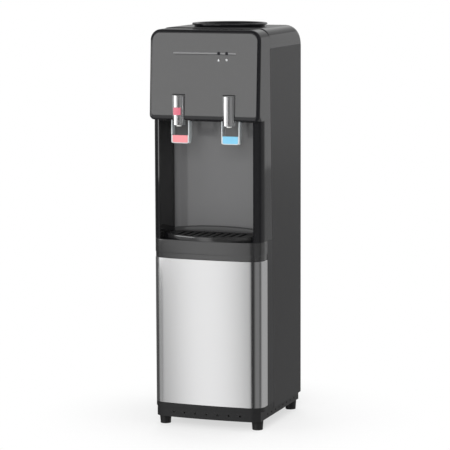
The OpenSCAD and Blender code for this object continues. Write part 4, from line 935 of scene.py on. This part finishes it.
class COOLER_OT_bay(bpy.types.Operator):
    """Builds the bay's lining, its arched ledge, its floor and the band under it"""
    bl_idname = "cooler.bay"
    bl_label = "Dispensing bay"

    def execute(self, context):
        back_y = FRONT_Y + BAY_DEPTH
        rear_half = BAY_HALF - BAY_DRAFT
        corner_x = rear_half - BAY_R
        corner_y = back_y - BAY_R
        start = float(front_edge(BAY_HALF)) + WALL + 0.2
        right = np.concatenate([line((bay_side(start), start), (corner_x + BAY_R, corner_y), 12),
                                arc((corner_x, corner_y), BAY_R, 0.0, 90.0, 17)])
        left = mirrored(right)
        path = np.concatenate([right, line(right[-1], left[0], 16)[1:], left])
        levels = np.linspace(DECK_Z, HEAD_Z - WALL, 8)
        skin("bay_walls", np.stack([plan_lay(path, z) for z in levels], axis=1), "bay_lining", "bay_liner",
             facing=(0.0, back_y - 40.0, 600.0), inside=True, wall=WALL, edge=0.25)

        # The ends of x, -1 and 1, stand for the bay's sides, and the paddles need the cells by the taps
        cuts = np.array([TAP_X - PADDLE_CUT, TAP_X, TAP_X + PADDLE_CUT])
        x = np.concatenate([[-1.0, -corner_x], -cuts[::-1], [0.0], cuts, [corner_x, 1.0]])
        at_side = np.abs(x) == 1.0
        depths = [front_edge(np.where(at_side, rear_half, x)) + 3.5]
        depths += [np.full(len(x), y) for y in (PADDLE_BACK, corner_y, back_y + 1.0)]
        rows = [plan_lay(np.column_stack([np.where(at_side, x * bay_side(y), x), y]), HEAD_Z - WALL)
                for y in depths]
        keep = np.ones((3, len(x) - 1), dtype=bool)
        keep[0, [2, 3, 6, 7]] = False
        skin("bay_ceiling", rows, "bay_lining", "bay_liner", keep=keep, facing=(0.0, -90.0, 900.0),
             wall=WALL)

        sag, depth, height, soft = 6.5, 9.0, 24.5, 2.5
        arch_r = (rear_half ** 2 + sag ** 2) / (2.0 * sag)
        t = np.linspace(-1.0, 1.0, 61)
        turn = np.linspace(0.0, np.pi / 2.0, 7)
        reach = np.concatenate([[0.0], soft * (1.0 - np.cos(turn)), [depth - 0.2, depth - 0.2]])
        drop = np.concatenate([[np.nan], soft * (1.0 - np.sin(turn)), [0.0, np.nan]])
        y = back_y - depth + reach
        across = corner_x + np.sqrt(BAY_R ** 2 - (y - corner_y) ** 2)
        px = t[:, None] * across[None, :]
        top = DECK_Z + height - (arch_r - np.sqrt(arch_r ** 2 - px ** 2))
        pz = np.where(np.isnan(drop)[None, :], DECK_Z, top - np.nan_to_num(drop)[None, :])
        points = np.stack([px, np.broadcast_to(y, px.shape), pz], axis=-1)
        skin("bay_ledge", points, "ledge_grey", "bay_liner", closed_v=True, caps=True)

        section = rounded([(2.6, BAND_Z), (0.8, BAND_Z), (0.8, BAND_Z + 12.0), (0.0, BAND_Z + 13.0),
                           (0.0, DECK_Z), (2.6, DECK_Z)], [0.0, 0.6, 0.5, 0.5, 1.6, 0.0])
        wrapped("band", section, "band_grey", "tray_housing", WRAP_Y - SEAM_GAP)
        deck_half, deck_back = BAY_HALF - SEAM_GAP, back_y + 18.5
        deck_x = np.linspace(-deck_half, deck_half, 61)
        deck = np.concatenate([np.column_stack([deck_x, front_edge(deck_x, 2.0)]),
                               [[deck_half, deck_back], [-deck_half, deck_back]]])
        slab("deck", deck, DECK_Z - 3.0, DECK_Z, 0.2, "gloss_black", "tray_housing")
        inner_x = TRAY_HALF + 1.0
        x = np.linspace(inner_x, BAY_HALF - 1.9, 9)
        flank = np.concatenate([np.column_stack([x, TRAY_Y - np.sqrt(TRAY_R ** 2 - x ** 2)]),
                                [[rear_half - SEAM_GAP, corner_y], [inner_x, corner_y]]])
        for side, word in SIDES:
            slab("deck_side_" + word, flank * (side, 1.0), DECK_Z - 1.0, TRAY_TOP, 1.2, "gloss_black",
                 "tray_housing")
        return {"FINISHED"}


class COOLER_OT_drip_tray(bpy.types.Operator):
    """Builds the drip tray and the slotted grille that lies in it"""
    bl_idname = "cooler.drip_tray"
    bl_label = "Drip tray"

    def execute(self, context):
        low = DECK_Z + 0.35
        rings = [(1.2, low), (0.9, low), (0.3, low + 0.3), (0.0, low + 1.0), (0.0, TRAY_TOP - 1.3),
                 (0.2, TRAY_TOP - 0.6), (0.6, TRAY_TOP - 0.15), (1.1, TRAY_TOP), (1.6, TRAY_TOP),
                 (1.9, TRAY_TOP - 0.15), (2.0, TRAY_TOP - 0.5), (2.0, TRAY_TOP - 2.5), (3.5, TRAY_TOP - 2.5),
                 (3.5, low + 2.6), (3.9, low + 2.1), (4.4, low + 2.0), (4.6, low + 2.0)]
        skin("tray", [plan_lay(tray_plan(inset), z) for inset, z in rings], "band_grey", "drip_tray",
             closed_v=True, caps=True)

        inset, frame_w, pitch, slot, side_slots = 2.35, 8.0, 19.0, 8.0, 4
        places = np.arange(-side_slots, side_slots + 1) * pitch
        edges = np.sort(np.concatenate([places - slot / 2, places + slot / 2]))
        outer = np.array([84.0, 88.0, 92.0, 94.5, 97.0, 99.0, 100.6, 101.55])
        x = np.concatenate([-outer[::-1], edges, outer])
        front = [TRAY_Y - np.sqrt((TRAY_R - inset - d) ** 2 - x ** 2) for d in (0.0, frame_w)]
        bend = np.maximum(np.abs(x) - (TRAY_HALF - TRAY_CORNER), 0.0)
        back = TRAY_BACK - TRAY_CORNER + np.sqrt(np.maximum((TRAY_CORNER - inset) ** 2 - bend ** 2, 0.0))
        rows = [front[0], np.minimum(front[1], back - 1.0), (front[1] + back - frame_w) / 2.0,
                np.maximum(back - frame_w, front[1] + 1.0), back]
        points = np.stack([plan_lay(np.column_stack([x, y]), TRAY_TOP + 0.1) for y in rows], axis=1)
        middle = (x[1:] + x[:-1]) / 2.0
        open_cell = np.abs(middle - pitch * np.round(middle / pitch)) < slot / 2
        open_cell &= np.abs(middle) < side_slots * pitch + slot
        keep = np.ones((len(x) - 1, 4), dtype=bool)
        keep[:, 1:3] = ~open_cell[:, None]
        skin("grille", points, "satin_black", "drip_grille", keep=keep, facing=(0.0, -100.0, 0.0), wall=2.4,
             edge=0.5)
        return {"FINISHED"}


def tap_front(inset):
    """Half-round front of a tap in plan about its axis: an arc with two short straight sides behind it, with
    points where the child lock's window begins and ends."""
    r = TAP_R - inset
    window = np.degrees(np.arcsin(WINDOW_HALF / TAP_R))
    return np.concatenate([line((r, TAP_SIDE), (r, 0.0), 2), arc((0.0, 0.0), r, 0.0, window - 90.0, 13),
                           arc((0.0, 0.0), r, window - 90.0, -window - 90.0, 29)[1:],
                           arc((0.0, 0.0), r, -window - 90.0, -180.0, 13)[1:],
                           line((-r, 0.0), (-r, TAP_SIDE), 2)[1:], [[-r, TAP_SIDE]]])


def tap_cover(word, x, window):
    """A tap's upright cover: the half-round front carried up, rounded over at the top and closed there."""
    low, high, soft = HEAD_Z - 10.5, HEAD_Z + 59.5, 2.2
    turns = np.linspace(0.0, np.pi / 2.0, 8)
    levels = [(0.0, low), (0.0, WINDOW_LOW), (0.0, WINDOW_HIGH)]
    levels += [(soft * (1.0 - np.cos(a)), high - soft * (1.0 - np.sin(a))) for a in turns]
    rows = [plan_lay(tap_front(inset), z) for inset, z in levels]
    rows += [rows[-1] * (1.0 - t, 1.0 - t, 1.0) + (0.0, TAP_SIDE * t, 0.0) for t in (0.5, 1.0)]
    rows = np.array(rows) + (x, TAP_Y, 0.0)
    keep = np.ones((len(rows) - 1, rows.shape[1] - 1), dtype=bool)
    if window:
        middle = (rows[1, 1:, 0] + rows[1, :-1, 0]) / 2.0 - x
        ahead = rows[1, 1:, 1] < TAP_Y - 5.0
        keep[1] &= ~((np.abs(middle) < WINDOW_HALF) & ahead)
    skin("tap_sleeve_" + word, rows, "tap_silver", "tap_cover_" + word, keep=keep,
         facing=(x, TAP_Y + TAP_SIDE, HEAD_Z + 20.0), wall=1.4, edge=0.35)


def lock_button(ribs):
    """The child lock: a patch of a cylinder whose radius falls off as a quarter round at its four edges,
    with three low ribs across and a rim that goes back into the tap."""
    crown, root, pitch, soft = 16.0, 12.6, 3.4, 1.2
    low, high = WINDOW_LOW + LOCK_GAP, WINDOW_HIGH - LOCK_GAP
    reach = np.degrees(np.arcsin((WINDOW_HALF - LOCK_GAP) / crown))

    def fall(distance):
        return soft - np.sqrt(np.maximum(soft ** 2 - np.maximum(soft - distance, 0.0) ** 2, 0.0))

    s = np.concatenate([[0.0], soft * (1.0 - np.cos(np.linspace(0.0, np.pi / 2.0, 6)))])
    edge = np.degrees(s / crown)
    a = np.concatenate([edge - reach, np.linspace(-reach + 7.0, reach - 7.0, 17), (reach - edge)[::-1]])
    z = np.concatenate([low + s, np.linspace(low + 2.0, high - 2.0, 41), (high - s)[::-1]])
    from_side = np.radians(reach - np.abs(a)) * crown
    from_end = np.minimum(z - low, high - z)
    radius = crown - fall(from_side)[:, None] - fall(from_end)[None, :]
    mid = (low + high) / 2.0
    wave = (np.cos((z - mid) * 2.0 * np.pi / pitch) - 1.0) / 2.0 * (np.abs(z - mid) < 2.0 * pitch)
    radius += ribs * wave[None, :] * (np.abs(a) < 27.0)[:, None]
    radius[[0, -1], :] = root
    radius[:, [0, -1]] = root
    turn = np.radians(a)[:, None]
    points = np.stack([radius * np.sin(turn) - TAP_X, TAP_Y - radius * np.cos(turn),
                       np.broadcast_to(z[None, :], radius.shape)], axis=-1)
    skin("lock_cap", points, "lock_red", "lock_button", facing=(-TAP_X, TAP_Y, mid))


def paddle(word, x, insert_finish):
    """A paddle: two cheeks seen from the side, the plate below with its coloured insert, the axle on top and
    the lever that lifts the valve."""
    node = "paddle_" + word
    front, back = FRONT_Y + 3.0, FRONT_Y + 23.0
    half, wall, toe, hub = 22.3, 2.5, 5.0, 6.0
    low, top = HEAD_Z - 54.5, HEAD_Z - 35.5
    cheek = np.concatenate([
        [[front, top], [front, low + toe]],
        arc((front + toe, low + toe), toe, 180.0, 270.0, 9)[1:],
        rounded([(front + toe, low), (front + 14.0, low), (back, top), (back, HEAD_Z - 4.0),
                 (PIVOT_Y + 5.6, PIVOT_Z - 2.0)], [0, 4, 6, 8, 0], closed=False)[1:],
        arc((PIVOT_Y, PIVOT_Z), hub, -20.0, 110.0, 15)[1:],
        [[front + 1.0, HEAD_Z + 9.0]]])
    for side, edge in SIDES:
        outer = x + side * half
        slab("%s_cheek_%s" % (node, edge), cheek, outer, outer - side * wall, 0.9, "paddle_milk", node,
             side_lay)

    def tongue(half, low, r, steps):
        """A plate seen from the front, with two round lower corners."""
        right = arc((half - r, low + r), r, -90.0, 0.0, steps)
        return np.concatenate([right, [[half, top], [-half, top]], mirrored(right)]) + (x, 0.0)

    slab(node + "_plate", tongue(half - 0.4, low, 6.0, 11), front, front + 3.7, 1.0, "paddle_milk", node,
         front_lay)
    insert = tongue(half - wall - 1.0, low + 2.0, 3.0, 9)
    slab("paddle_colour_" + word, insert, front - 0.35, front + 1.6, 0.5, insert_finish,
         "paddle_insert_" + word, front_lay)
    rod = rounded(block((0.0, 0.8 - half), (2.5, half - 0.8)), [0, 0.5, 0.5, 0])
    lathe(node + "_axle", rod, (x, PIVOT_Y, PIVOT_Z), "paddle_milk", node, 32, "X")
    lever = rounded(block((PIVOT_Y, PIVOT_Z - 2.0), (PIVOT_Y + 21.0, PIVOT_Z + 2.0)), 1.0)
    slab(node + "_lever", lever, x - 2.5, x + 2.5, 0.5, "paddle_milk", node, side_lay)


class COOLER_OT_taps(bpy.types.Operator):
    """Builds the taps' covers, the child lock and the paddles, and dresses the tap bodies"""
    bl_idname = "cooler.taps"
    bl_label = "Taps"

    def execute(self, context):
        tap_cover("hot", -TAP_X, True)
        tap_cover("cold", TAP_X, False)
        lock_button(context.scene.cooler_sizes.lock_ribs / MM)
        paddle("hot", -TAP_X, "hot_insert")
        paddle("cold", TAP_X, "cold_insert")
        dress("pale_moulding", "tap_body_hot", "tap_body_cold", "valve_stem_hot", "valve_stem_cold",
              "tap_nuts")
        dress("stainless", "tap_bracket")
        return {"FINISHED"}


class COOLER_OT_bottle_seat(bpy.types.Operator):
    """Builds the collar and dresses the probe and the well"""
    bl_idname = "cooler.bottle_seat"
    bl_label = "Bottle seat"

    def execute(self, context):
        high = node_mm("bottle_collar")[1]
        rim, top = COVER_Z + 0.35, high[2]
        lip, well, neck = high[0], 79.0, 32.0
        profile = rounded(
            [(lip - 5.0, rim), (lip - 4.5, rim + 2.5), (lip, rim + 3.3), (lip, top), (lip - 9.0, top),
             (well - 3.0, top - 5.0), (well - 7.0, top - 13.0), (neck + 5.0, top - 34.0),
             (neck, top - 39.0), (neck, top - 50.0), (neck + 2.0, top - 50.0), (neck + 2.0, top - 40.0),
             (neck + 6.0, top - 36.0), (well - 5.0, top - 15.5), (well - 2.35, top - 24.0),
             (well - 0.35, top - 24.0), (well - 0.35, rim)],
            [0.2, 0.8, 0.6, 1.6, 3.0, 3.0, 4.0, 3.0, 2.0, 0.5, 0.5, 1.0, 1.0, 1.0, 0.5, 0.5, 0.5])
        lathe("collar_ring", np.vstack([profile, profile[:1]]), (0.0, WELL_Y, 0.0), "gloss_black",
              "bottle_collar", 160)
        dress("pale_moulding", "feed_probe", "bottle_well")
        return {"FINISHED"}


class COOLER_OT_cooling(bpy.types.Operator):
    """Builds the compressor, the condenser's tube and the copper lines, and dresses their mounts"""
    bl_idname = "cooler.cooling"
    bl_label = "Cooling"

    def execute(self, context):
        low, high = node_mm("compressor")
        x, y = 15.0, BACK_Y - 76.0
        foot_z, top, r = low[2], high[2], 60.0
        seam = (44.0 + top) / 2.0
        profile = rounded(
            [(0.0, foot_z + 2.0), (r - 20.0, foot_z + 2.0), (r, foot_z + 20.0), (r, seam - 3.0),
             (r + 3.0, seam - 3.0), (r + 3.0, seam + 1.0), (r - 1.0, seam + 1.0), (r - 1.0, top - 12.0),
             (r - 30.0, top), (0.0, top)],
            [0.0, 14.0, 14.0, 0.6, 0.5, 0.5, 0.6, 26.0, 22.0, 0.0], 9)
        lathe("compressor_shell", profile, (x, y, 0.0), "black_enamel", "compressor", 96)
        far, near, half = 60.0, 48.0, 30.0
        foot = np.array([(-far, -far), (-half, -far), (-half, -near), (half, -near), (half, -far),
                         (far, -far), (far, -half), (near, -half), (near, half), (far, half)])
        foot = np.concatenate([foot, -foot])
        slab("compressor_foot", rounded(foot, 3.0, 4) + (x, y), foot_z, foot_z + 2.5, 0.4, "black_enamel",
             "compressor")

        coil_y = middle_mm("condenser_tube")[1]
        half, pitch, runs, coil_r = 84.0, 42.0, 12, 2.5
        first = node_mm("condenser_tube")[0][2] + coil_r
        bend = arc((0.0, 0.0), pitch / 2.0, -90.0, 90.0, 17)[:-1]
        path = []
        for i in range(runs):
            side = 1.0 if i % 2 == 0 else -1.0
            z = first + i * pitch
            path.append(line((-side * half, z), (side * half, z), 10))
            if i < runs - 1:
                path.append(bend * (side, 1.0) + (side * half, z + pitch / 2.0))
        path.append([[side * half, z]])
        tube("condenser_pipe", front_lay(np.concatenate(path), coil_y), coil_r, "black_enamel",
             "condenser_tube", (0.0, 1.0, 0.0))

        stub, high_z, low_z, tank_z = top - 2.2, top + 24.0, top + 14.0, 797.0
        suction_x, out_x, out_y, rise_x, coil_end = x + 40.0, x - 30.0, y + 25.0, -98.0, -84.3
        drier_x, drier_y, drop_z, coil_z = -112.0, BACK_Y - 22.0, 217.0, 737.0
        lines = (
            ("suction_line", 3.2, [(suction_x, y, stub), (suction_x, y, high_z), (-drier_x, y, high_z),
                                   (-drier_x, y, tank_z), (84.5, y, tank_z)]),
            ("discharge_line", 2.5, [(out_x, out_y, stub), (out_x, out_y, low_z), (out_x, coil_y, low_z),
                                     (rise_x, coil_y, low_z), (rise_x, coil_y, first),
                                     (coil_end, coil_y, first)]),
            ("liquid_line", 2.0, [(coil_end, coil_y, coil_z), (drier_x, coil_y, coil_z),
                                  (drier_x, coil_y, drop_z), (drier_x, drier_y, drop_z),
                                  (drier_x, drier_y, 195.3)]))
        for node, radius, corners in lines:
            tube(node + "_pipe", rounded(corners, 10.0, 9, closed=False), radius, "copper", node)
        drier = rounded([(0.0, 95.0), (3.0, 95.0), (3.0, 103.0), (9.0, 113.0), (9.0, 177.0), (3.0, 187.0),
                         (3.0, 195.0), (0.0, 195.0)], [0, 0.5, 2.0, 4.0, 4.0, 2.0, 0.5, 0])
        lathe("drier_body", drier, (drier_x, drier_y, 0.0), "copper", "filter_drier", 48)
        dress("black_enamel", "condenser_wires", "condenser_brackets")
        dress("side_steel", "compressor_plate")
        dress("rubber", "compressor_grommets")
        dress("copper", "evaporator_coil")
        dress("dark_moulding", "relay_box")
        return {"FINISHED"}


class COOLER_OT_tanks(bpy.types.Operator):
    """Dresses the tanks and hoses inside"""
    bl_idname = "cooler.tanks"
    bl_label = "Tanks"

    def execute(self, context):
        dress("stainless", "cold_tank", "hot_tank", "tank_shelf")
        dress("foam", "tank_insulation")
        dress("heater_brass", "heater_band")
        dress("silicone", "tank_link_pipe", "hot_hose", "cold_hose")
        return {"FINISHED"}


def rocker(word, x, z, finish):
    """A rocker seen from the side, dished between its two raised ends, turned by its rest angle about the
    pin, with the pin through it."""
    node = "rocker_" + word
    half, tilt, y = 8.1, np.radians(8.0), BACK_Y - 3.0
    dish = arc((21.8, 0.0), 17.2, 208.1, 151.9, 15)
    shape = rounded(np.concatenate([[[-2.5, 2.0 - half]], dish, [[-2.5, half - 2.0]]]),
                    [2.0] + [0.0] * len(dish) + [2.0])
    deep, up = shape.T
    turned = np.column_stack([deep * np.cos(tilt) - up * np.sin(tilt) + y,
                              deep * np.sin(tilt) + up * np.cos(tilt) + z])
    slab(node + "_key", turned, x - 5.65, x + 5.65, 0.3, finish, node, side_lay)
    pin = rounded(block((0.0, -7.0), (1.5, 7.0)), [0, 0.3, 0.3, 0])
    lathe(node + "_pin", pin, (x, y, z), finish, node, 24, "X")


class COOLER_OT_rear_fittings(bpy.types.Operator):
    """Builds the switches, the cord gland, the drain cap and the screws, and dresses their mounts"""
    bl_idname = "cooler.rear_fittings"
    bl_label = "Rear fittings"

    def execute(self, context):
        x, _, z = middle_mm("switch_plate")
        rocker("heating", x - 12.0, z, "rocker_red")
        rocker("cooling", x + 12.0, z, "rocker_green")
        dress("dark_moulding", "switch_plate")

        x, _, z = middle_mm("cord_gland")
        gland = rounded([(3.5, -6.0), (6.3, -6.0), (6.3, 0.0), (9.5, 0.0), (9.5, 3.0), (6.6, 4.0),
                         (6.6, 5.4), (5.5, 5.6), (5.5, 6.6), (6.1, 6.8), (6.1, 8.0), (5.2, 8.2), (5.2, 9.2),
                         (5.5, 9.4), (5.4, 11.0), (3.5, 11.0), (3.5, -6.0)], [0] + [0.3] * 15 + [0], 4)
        lathe("gland_sleeve", gland, (x, BACK_Y, z), "dark_moulding", "cord_gland", 48, "Y")

        x, _, z = middle_mm("drain_cap")
        cap = rounded([(0.0, 10.35), (7.35, 10.35), (7.35, 2.35), (9.6, 2.35), (9.6, 12.0), (8.6, 13.0),
                       (0.0, 13.0)], [0, 0.3, 0.3, 0.4, 0.5, 0.5, 0])
        lathe("drain_knob", cap, (x, BACK_Y, z), "dark_moulding", "drain_cap", 144, "Y", ribs=24,
              rib_depth=0.5, rib_from=8.9)
        dress("pale_moulding", "drain_spout")

        low, high = node_mm("rear_screws")
        head_r, head_h, arm, half = 3.4, 1.8, 2.0, 0.3
        head = rounded([(0.0, -7.0), (1.6, -7.0), (1.6, 0.0), (head_r, 0.0), (head_r, head_h / 2.0),
                        (2.2, head_h), (0.0, head_h)], [0, 0.2, 0.2, 0.1, 0.3, 1.2, 0])
        cross = np.array([(-arm, -half), (-half, -half), (-half, -arm), (half, -arm), (half, -half),
                          (arm, -half)])
        cross = np.concatenate([cross, -cross])
        for i, z in enumerate(np.linspace(low[2] + head_r, high[2] - head_r, 5)):
            for j, x in enumerate((low[0] + head_r, high[0] - head_r)):
                name = "screw_%d_%d" % (i, j)
                lathe(name, head, (x, BACK_Y, z), "stainless", "rear_screws", 32, "Y")
                slab(name + "_recess", cross + (x, z), BACK_Y + 1.4, BACK_Y + head_h + 0.02, 0.02, "rubber",
                     "rear_screws", front_lay, steps=2)
        return {"FINISHED"}


# The camera: its place in metres, its angles in degrees, its lens and sensor in millimetres
CAMERA_PLACE = (1.83796, -4.9912, 1.17485)
CAMERA_YAW = 20.27
CAMERA_PITCH = 7.6
CAMERA_ROLL = -0.2277
CAMERA_LENS = 179.84
SENSOR = 36.0

# Half the floor's width, in metres
FLOOR_HALF = 60.0


def soft_box(name, place, aim, width, height, radiance, gloss=True):
    """An area lamp turned towards a point; its power is pi times its area times the radiance wanted."""
    lamp = bpy.data.lights.new(name, "AREA")
    lamp.shape = "RECTANGLE"
    lamp.size = width
    lamp.size_y = height
    lamp.energy = np.pi * width * height * radiance
    box = bpy.data.objects.new(name, lamp)
    box.location = place
    box.rotation_euler = (Vector(aim) - Vector(place)).to_track_quat("-Z", "Y").to_euler()
    box.visible_glossy = gloss
    bpy.context.scene.collection.objects.link(box)


class Surround(Finish):
    """The world's node tree, with the helpers of a finish."""

    def __init__(self, world):
        world.use_nodes = True
        self.tree = world.node_tree
        self.tree.nodes.clear()

    def add_output(self, shader):
        output = self.tree.nodes.new("ShaderNodeOutputWorld")
        self.tree.links.new(shader.socket, output.inputs[0])

    def light(self, strength):
        return self.add("ShaderNodeBackground", {}, {"Color": (1.0, 1.0, 1.0, 1.0), "Strength": strength})


def studio_world(scene):
    """The surround: white to the camera and a low even light for matt surfaces. Gloss sees a dim room in
    front with one pale wall at the left, and behind the cooler a white backdrop that gets greyer to the
    right, is dim at the far left and ends at the horizon."""
    scene.world = bpy.data.worlds.new("studio")
    s = Surround(scene.world)
    where = s.add("ShaderNodeTexCoord", output="Generated")
    x, y, z = (s.add("ShaderNodeSeparateXYZ", {}, {"Vector": where}, output=axis) for axis in "XYZ")
    slope = x.math("DIVIDE", x, x.math("MAXIMUM", 0.0 - y, 0.05))
    ahead = 1.0 - y.step(-0.3, -0.1)
    wall = slope.step(-0.82, -0.42) * (1.0 - slope.step(-0.16, -0.12))
    wall = wall * (1.0 - 0.3 * slope.step(-0.32, -0.15)) * (1.0 - z.step(0.2, 0.5)) * ahead
    above = z.step(-0.1, 0.04)
    upper = above * (1.0 - 0.6 * x.step(-0.3, 0.35)) * (0.3 + 0.7 * x.step(-0.34, -0.12))
    lower = (1.0 - above) * (0.06 + 0.3 * x.step(-0.1, 0.3))
    beside = (0.16 * slope.step(0.4, 0.75) + 0.3 * (1.0 - slope.step(-1.0, -0.6))) * ahead
    gloss = s.light(0.03 + beside + 0.97 * wall + 0.95 * y.step(-0.15, 0.3) * (upper + lower))
    glossy = s.add("ShaderNodeLightPath", output="Is Glossy Ray")
    camera = s.add("ShaderNodeLightPath", output="Is Camera Ray")
    unseen = s.add("ShaderNodeMixShader", {}, {0: glossy, 1: s.light(0.35), 2: gloss})
    seen = s.add("ShaderNodeMixShader", {}, {0: camera, 1: unseen, 2: s.light(1.0)})
    s.add_output(seen)


def camera_axes():
    """Right, up and backward of the camera, from its yaw, downward pitch and roll."""
    yaw, pitch, roll = np.radians([CAMERA_YAW, CAMERA_PITCH, CAMERA_ROLL])
    ahead = np.array([-np.sin(yaw) * np.cos(pitch), np.cos(yaw) * np.cos(pitch), -np.sin(pitch)])
    level = np.array([np.cos(yaw), np.sin(yaw), 0.0])
    raised = np.cross(level, ahead)
    right = np.cos(roll) * level + np.sin(roll) * raised
    up = -np.sin(roll) * level + np.cos(roll) * raised
    return right, up, -ahead


class COOLER_OT_stage(bpy.types.Operator):
    """Sets up the floor, the light and the camera"""
    bl_idname = "cooler.stage"
    bl_label = "Stage"

    def execute(self, context):
        scene = context.scene
        corners = np.array(block((-FLOOR_HALF, -FLOOR_HALF), (FLOOR_HALF, FLOOR_HALF)))
        mesh = bpy.data.meshes.new("floor")
        mesh.from_pydata(plan_lay(corners, 0.0).tolist(), [], [(0, 1, 2, 3)])
        mesh.materials.append(FINISHES["studio_paper"])
        floor = bpy.data.objects.new("floor", mesh)
        scene.collection.objects.link(floor)
        floor.visible_glossy = False
        studio_world(scene)

        soft_box("left_box", (-1.24, -0.95, 0.7), (-0.06, -0.15, 0.75), 1.0, 0.55, 2.8)
        soft_box("front_fill", (0.4, -3.2, 1.5), (0.0, 0.0, 0.5), 2.0, 1.6, 9.0, gloss=False)
        soft_box("rear_box", (0.95, 2.0, 0.85), (0.136, 0.0, 0.75), 1.1, 0.9, 0.3)
        soft_box("top_fill", (0.2, 0.3, 2.6), (0.0, 0.0, 0.9), 1.6, 1.6, 3.0, gloss=False)
        soft_box("back_fill", (-1.3, 2.6, 1.3), (0.0, 0.0, 0.5), 1.4, 1.6, 4.0, gloss=False)
        soft_box("right_fill", (2.8, 0.2, 1.6), (0.0, 0.0, 0.5), 1.4, 1.6, 2.0, gloss=False)

        lens = bpy.data.cameras.new("camera")
        lens.lens = CAMERA_LENS
        lens.sensor_width = SENSOR
        lens.sensor_fit = "HORIZONTAL"
        lens.clip_end = 200.0
        camera = bpy.data.objects.new("camera", lens)
        turn = Matrix(camera_axes()).transposed().to_4x4()
        camera.matrix_world = Matrix.Translation(CAMERA_PLACE) @ turn
        scene.collection.objects.link(camera)
        scene.camera = camera
        scene.view_settings.view_transform = "Standard"
        return {"FINISHED"}


OPERATORS = (
    COOLER_OT_finishes,
    COOLER_OT_cabinet,
    COOLER_OT_top_cover,
    COOLER_OT_head,
    COOLER_OT_bay,
    COOLER_OT_drip_tray,
    COOLER_OT_taps,
    COOLER_OT_bottle_seat,
    COOLER_OT_cooling,
    COOLER_OT_tanks,
    COOLER_OT_rear_fittings,
    COOLER_OT_stage,
)


class COOLER_PT_sidebar(bpy.types.Panel):
    """Lists the cooler's sizes, colours and building steps"""
    bl_idname = "COOLER_PT_sidebar"
    bl_label = "Cooler"
    bl_space_type = "VIEW_3D"
    bl_region_type = "UI"
    bl_category = "Cooler"

    def draw(self, context):
        column = self.layout.column()
        for group in (context.scene.cooler_sizes, context.scene.cooler_colours):
            for name in group.bl_rna.properties.keys():
                if name not in ("rna_type", "name"):
                    column.prop(group, name)
        for operator in OPERATORS:
            column.operator(operator.bl_idname)


def register():
    for cls in (CoolerSizes, CoolerColours) + OPERATORS + (COOLER_PT_sidebar,):
        bpy.utils.register_class(cls)
    bpy.types.Scene.cooler_sizes = bpy.props.PointerProperty(type=CoolerSizes)
    bpy.types.Scene.cooler_colours = bpy.props.PointerProperty(type=CoolerColours)


def unregister():
    del bpy.types.Scene.cooler_colours
    del bpy.types.Scene.cooler_sizes
    for cls in (COOLER_PT_sidebar,) + OPERATORS[::-1] + (CoolerColours, CoolerSizes):
        bpy.utils.unregister_class(cls)


def main():
    register()
    bpy.ops.cooler.finishes()
    bpy.ops.cooler.cabinet()
    bpy.ops.cooler.top_cover()
    bpy.ops.cooler.head()
    bpy.ops.cooler.bay()
    bpy.ops.cooler.drip_tray()
    bpy.ops.cooler.taps()
    bpy.ops.cooler.bottle_seat()
    bpy.ops.cooler.cooling()
    bpy.ops.cooler.tanks()
    bpy.ops.cooler.rear_fittings()
    bpy.ops.cooler.stage()


if __name__ == "__main__":
    main()
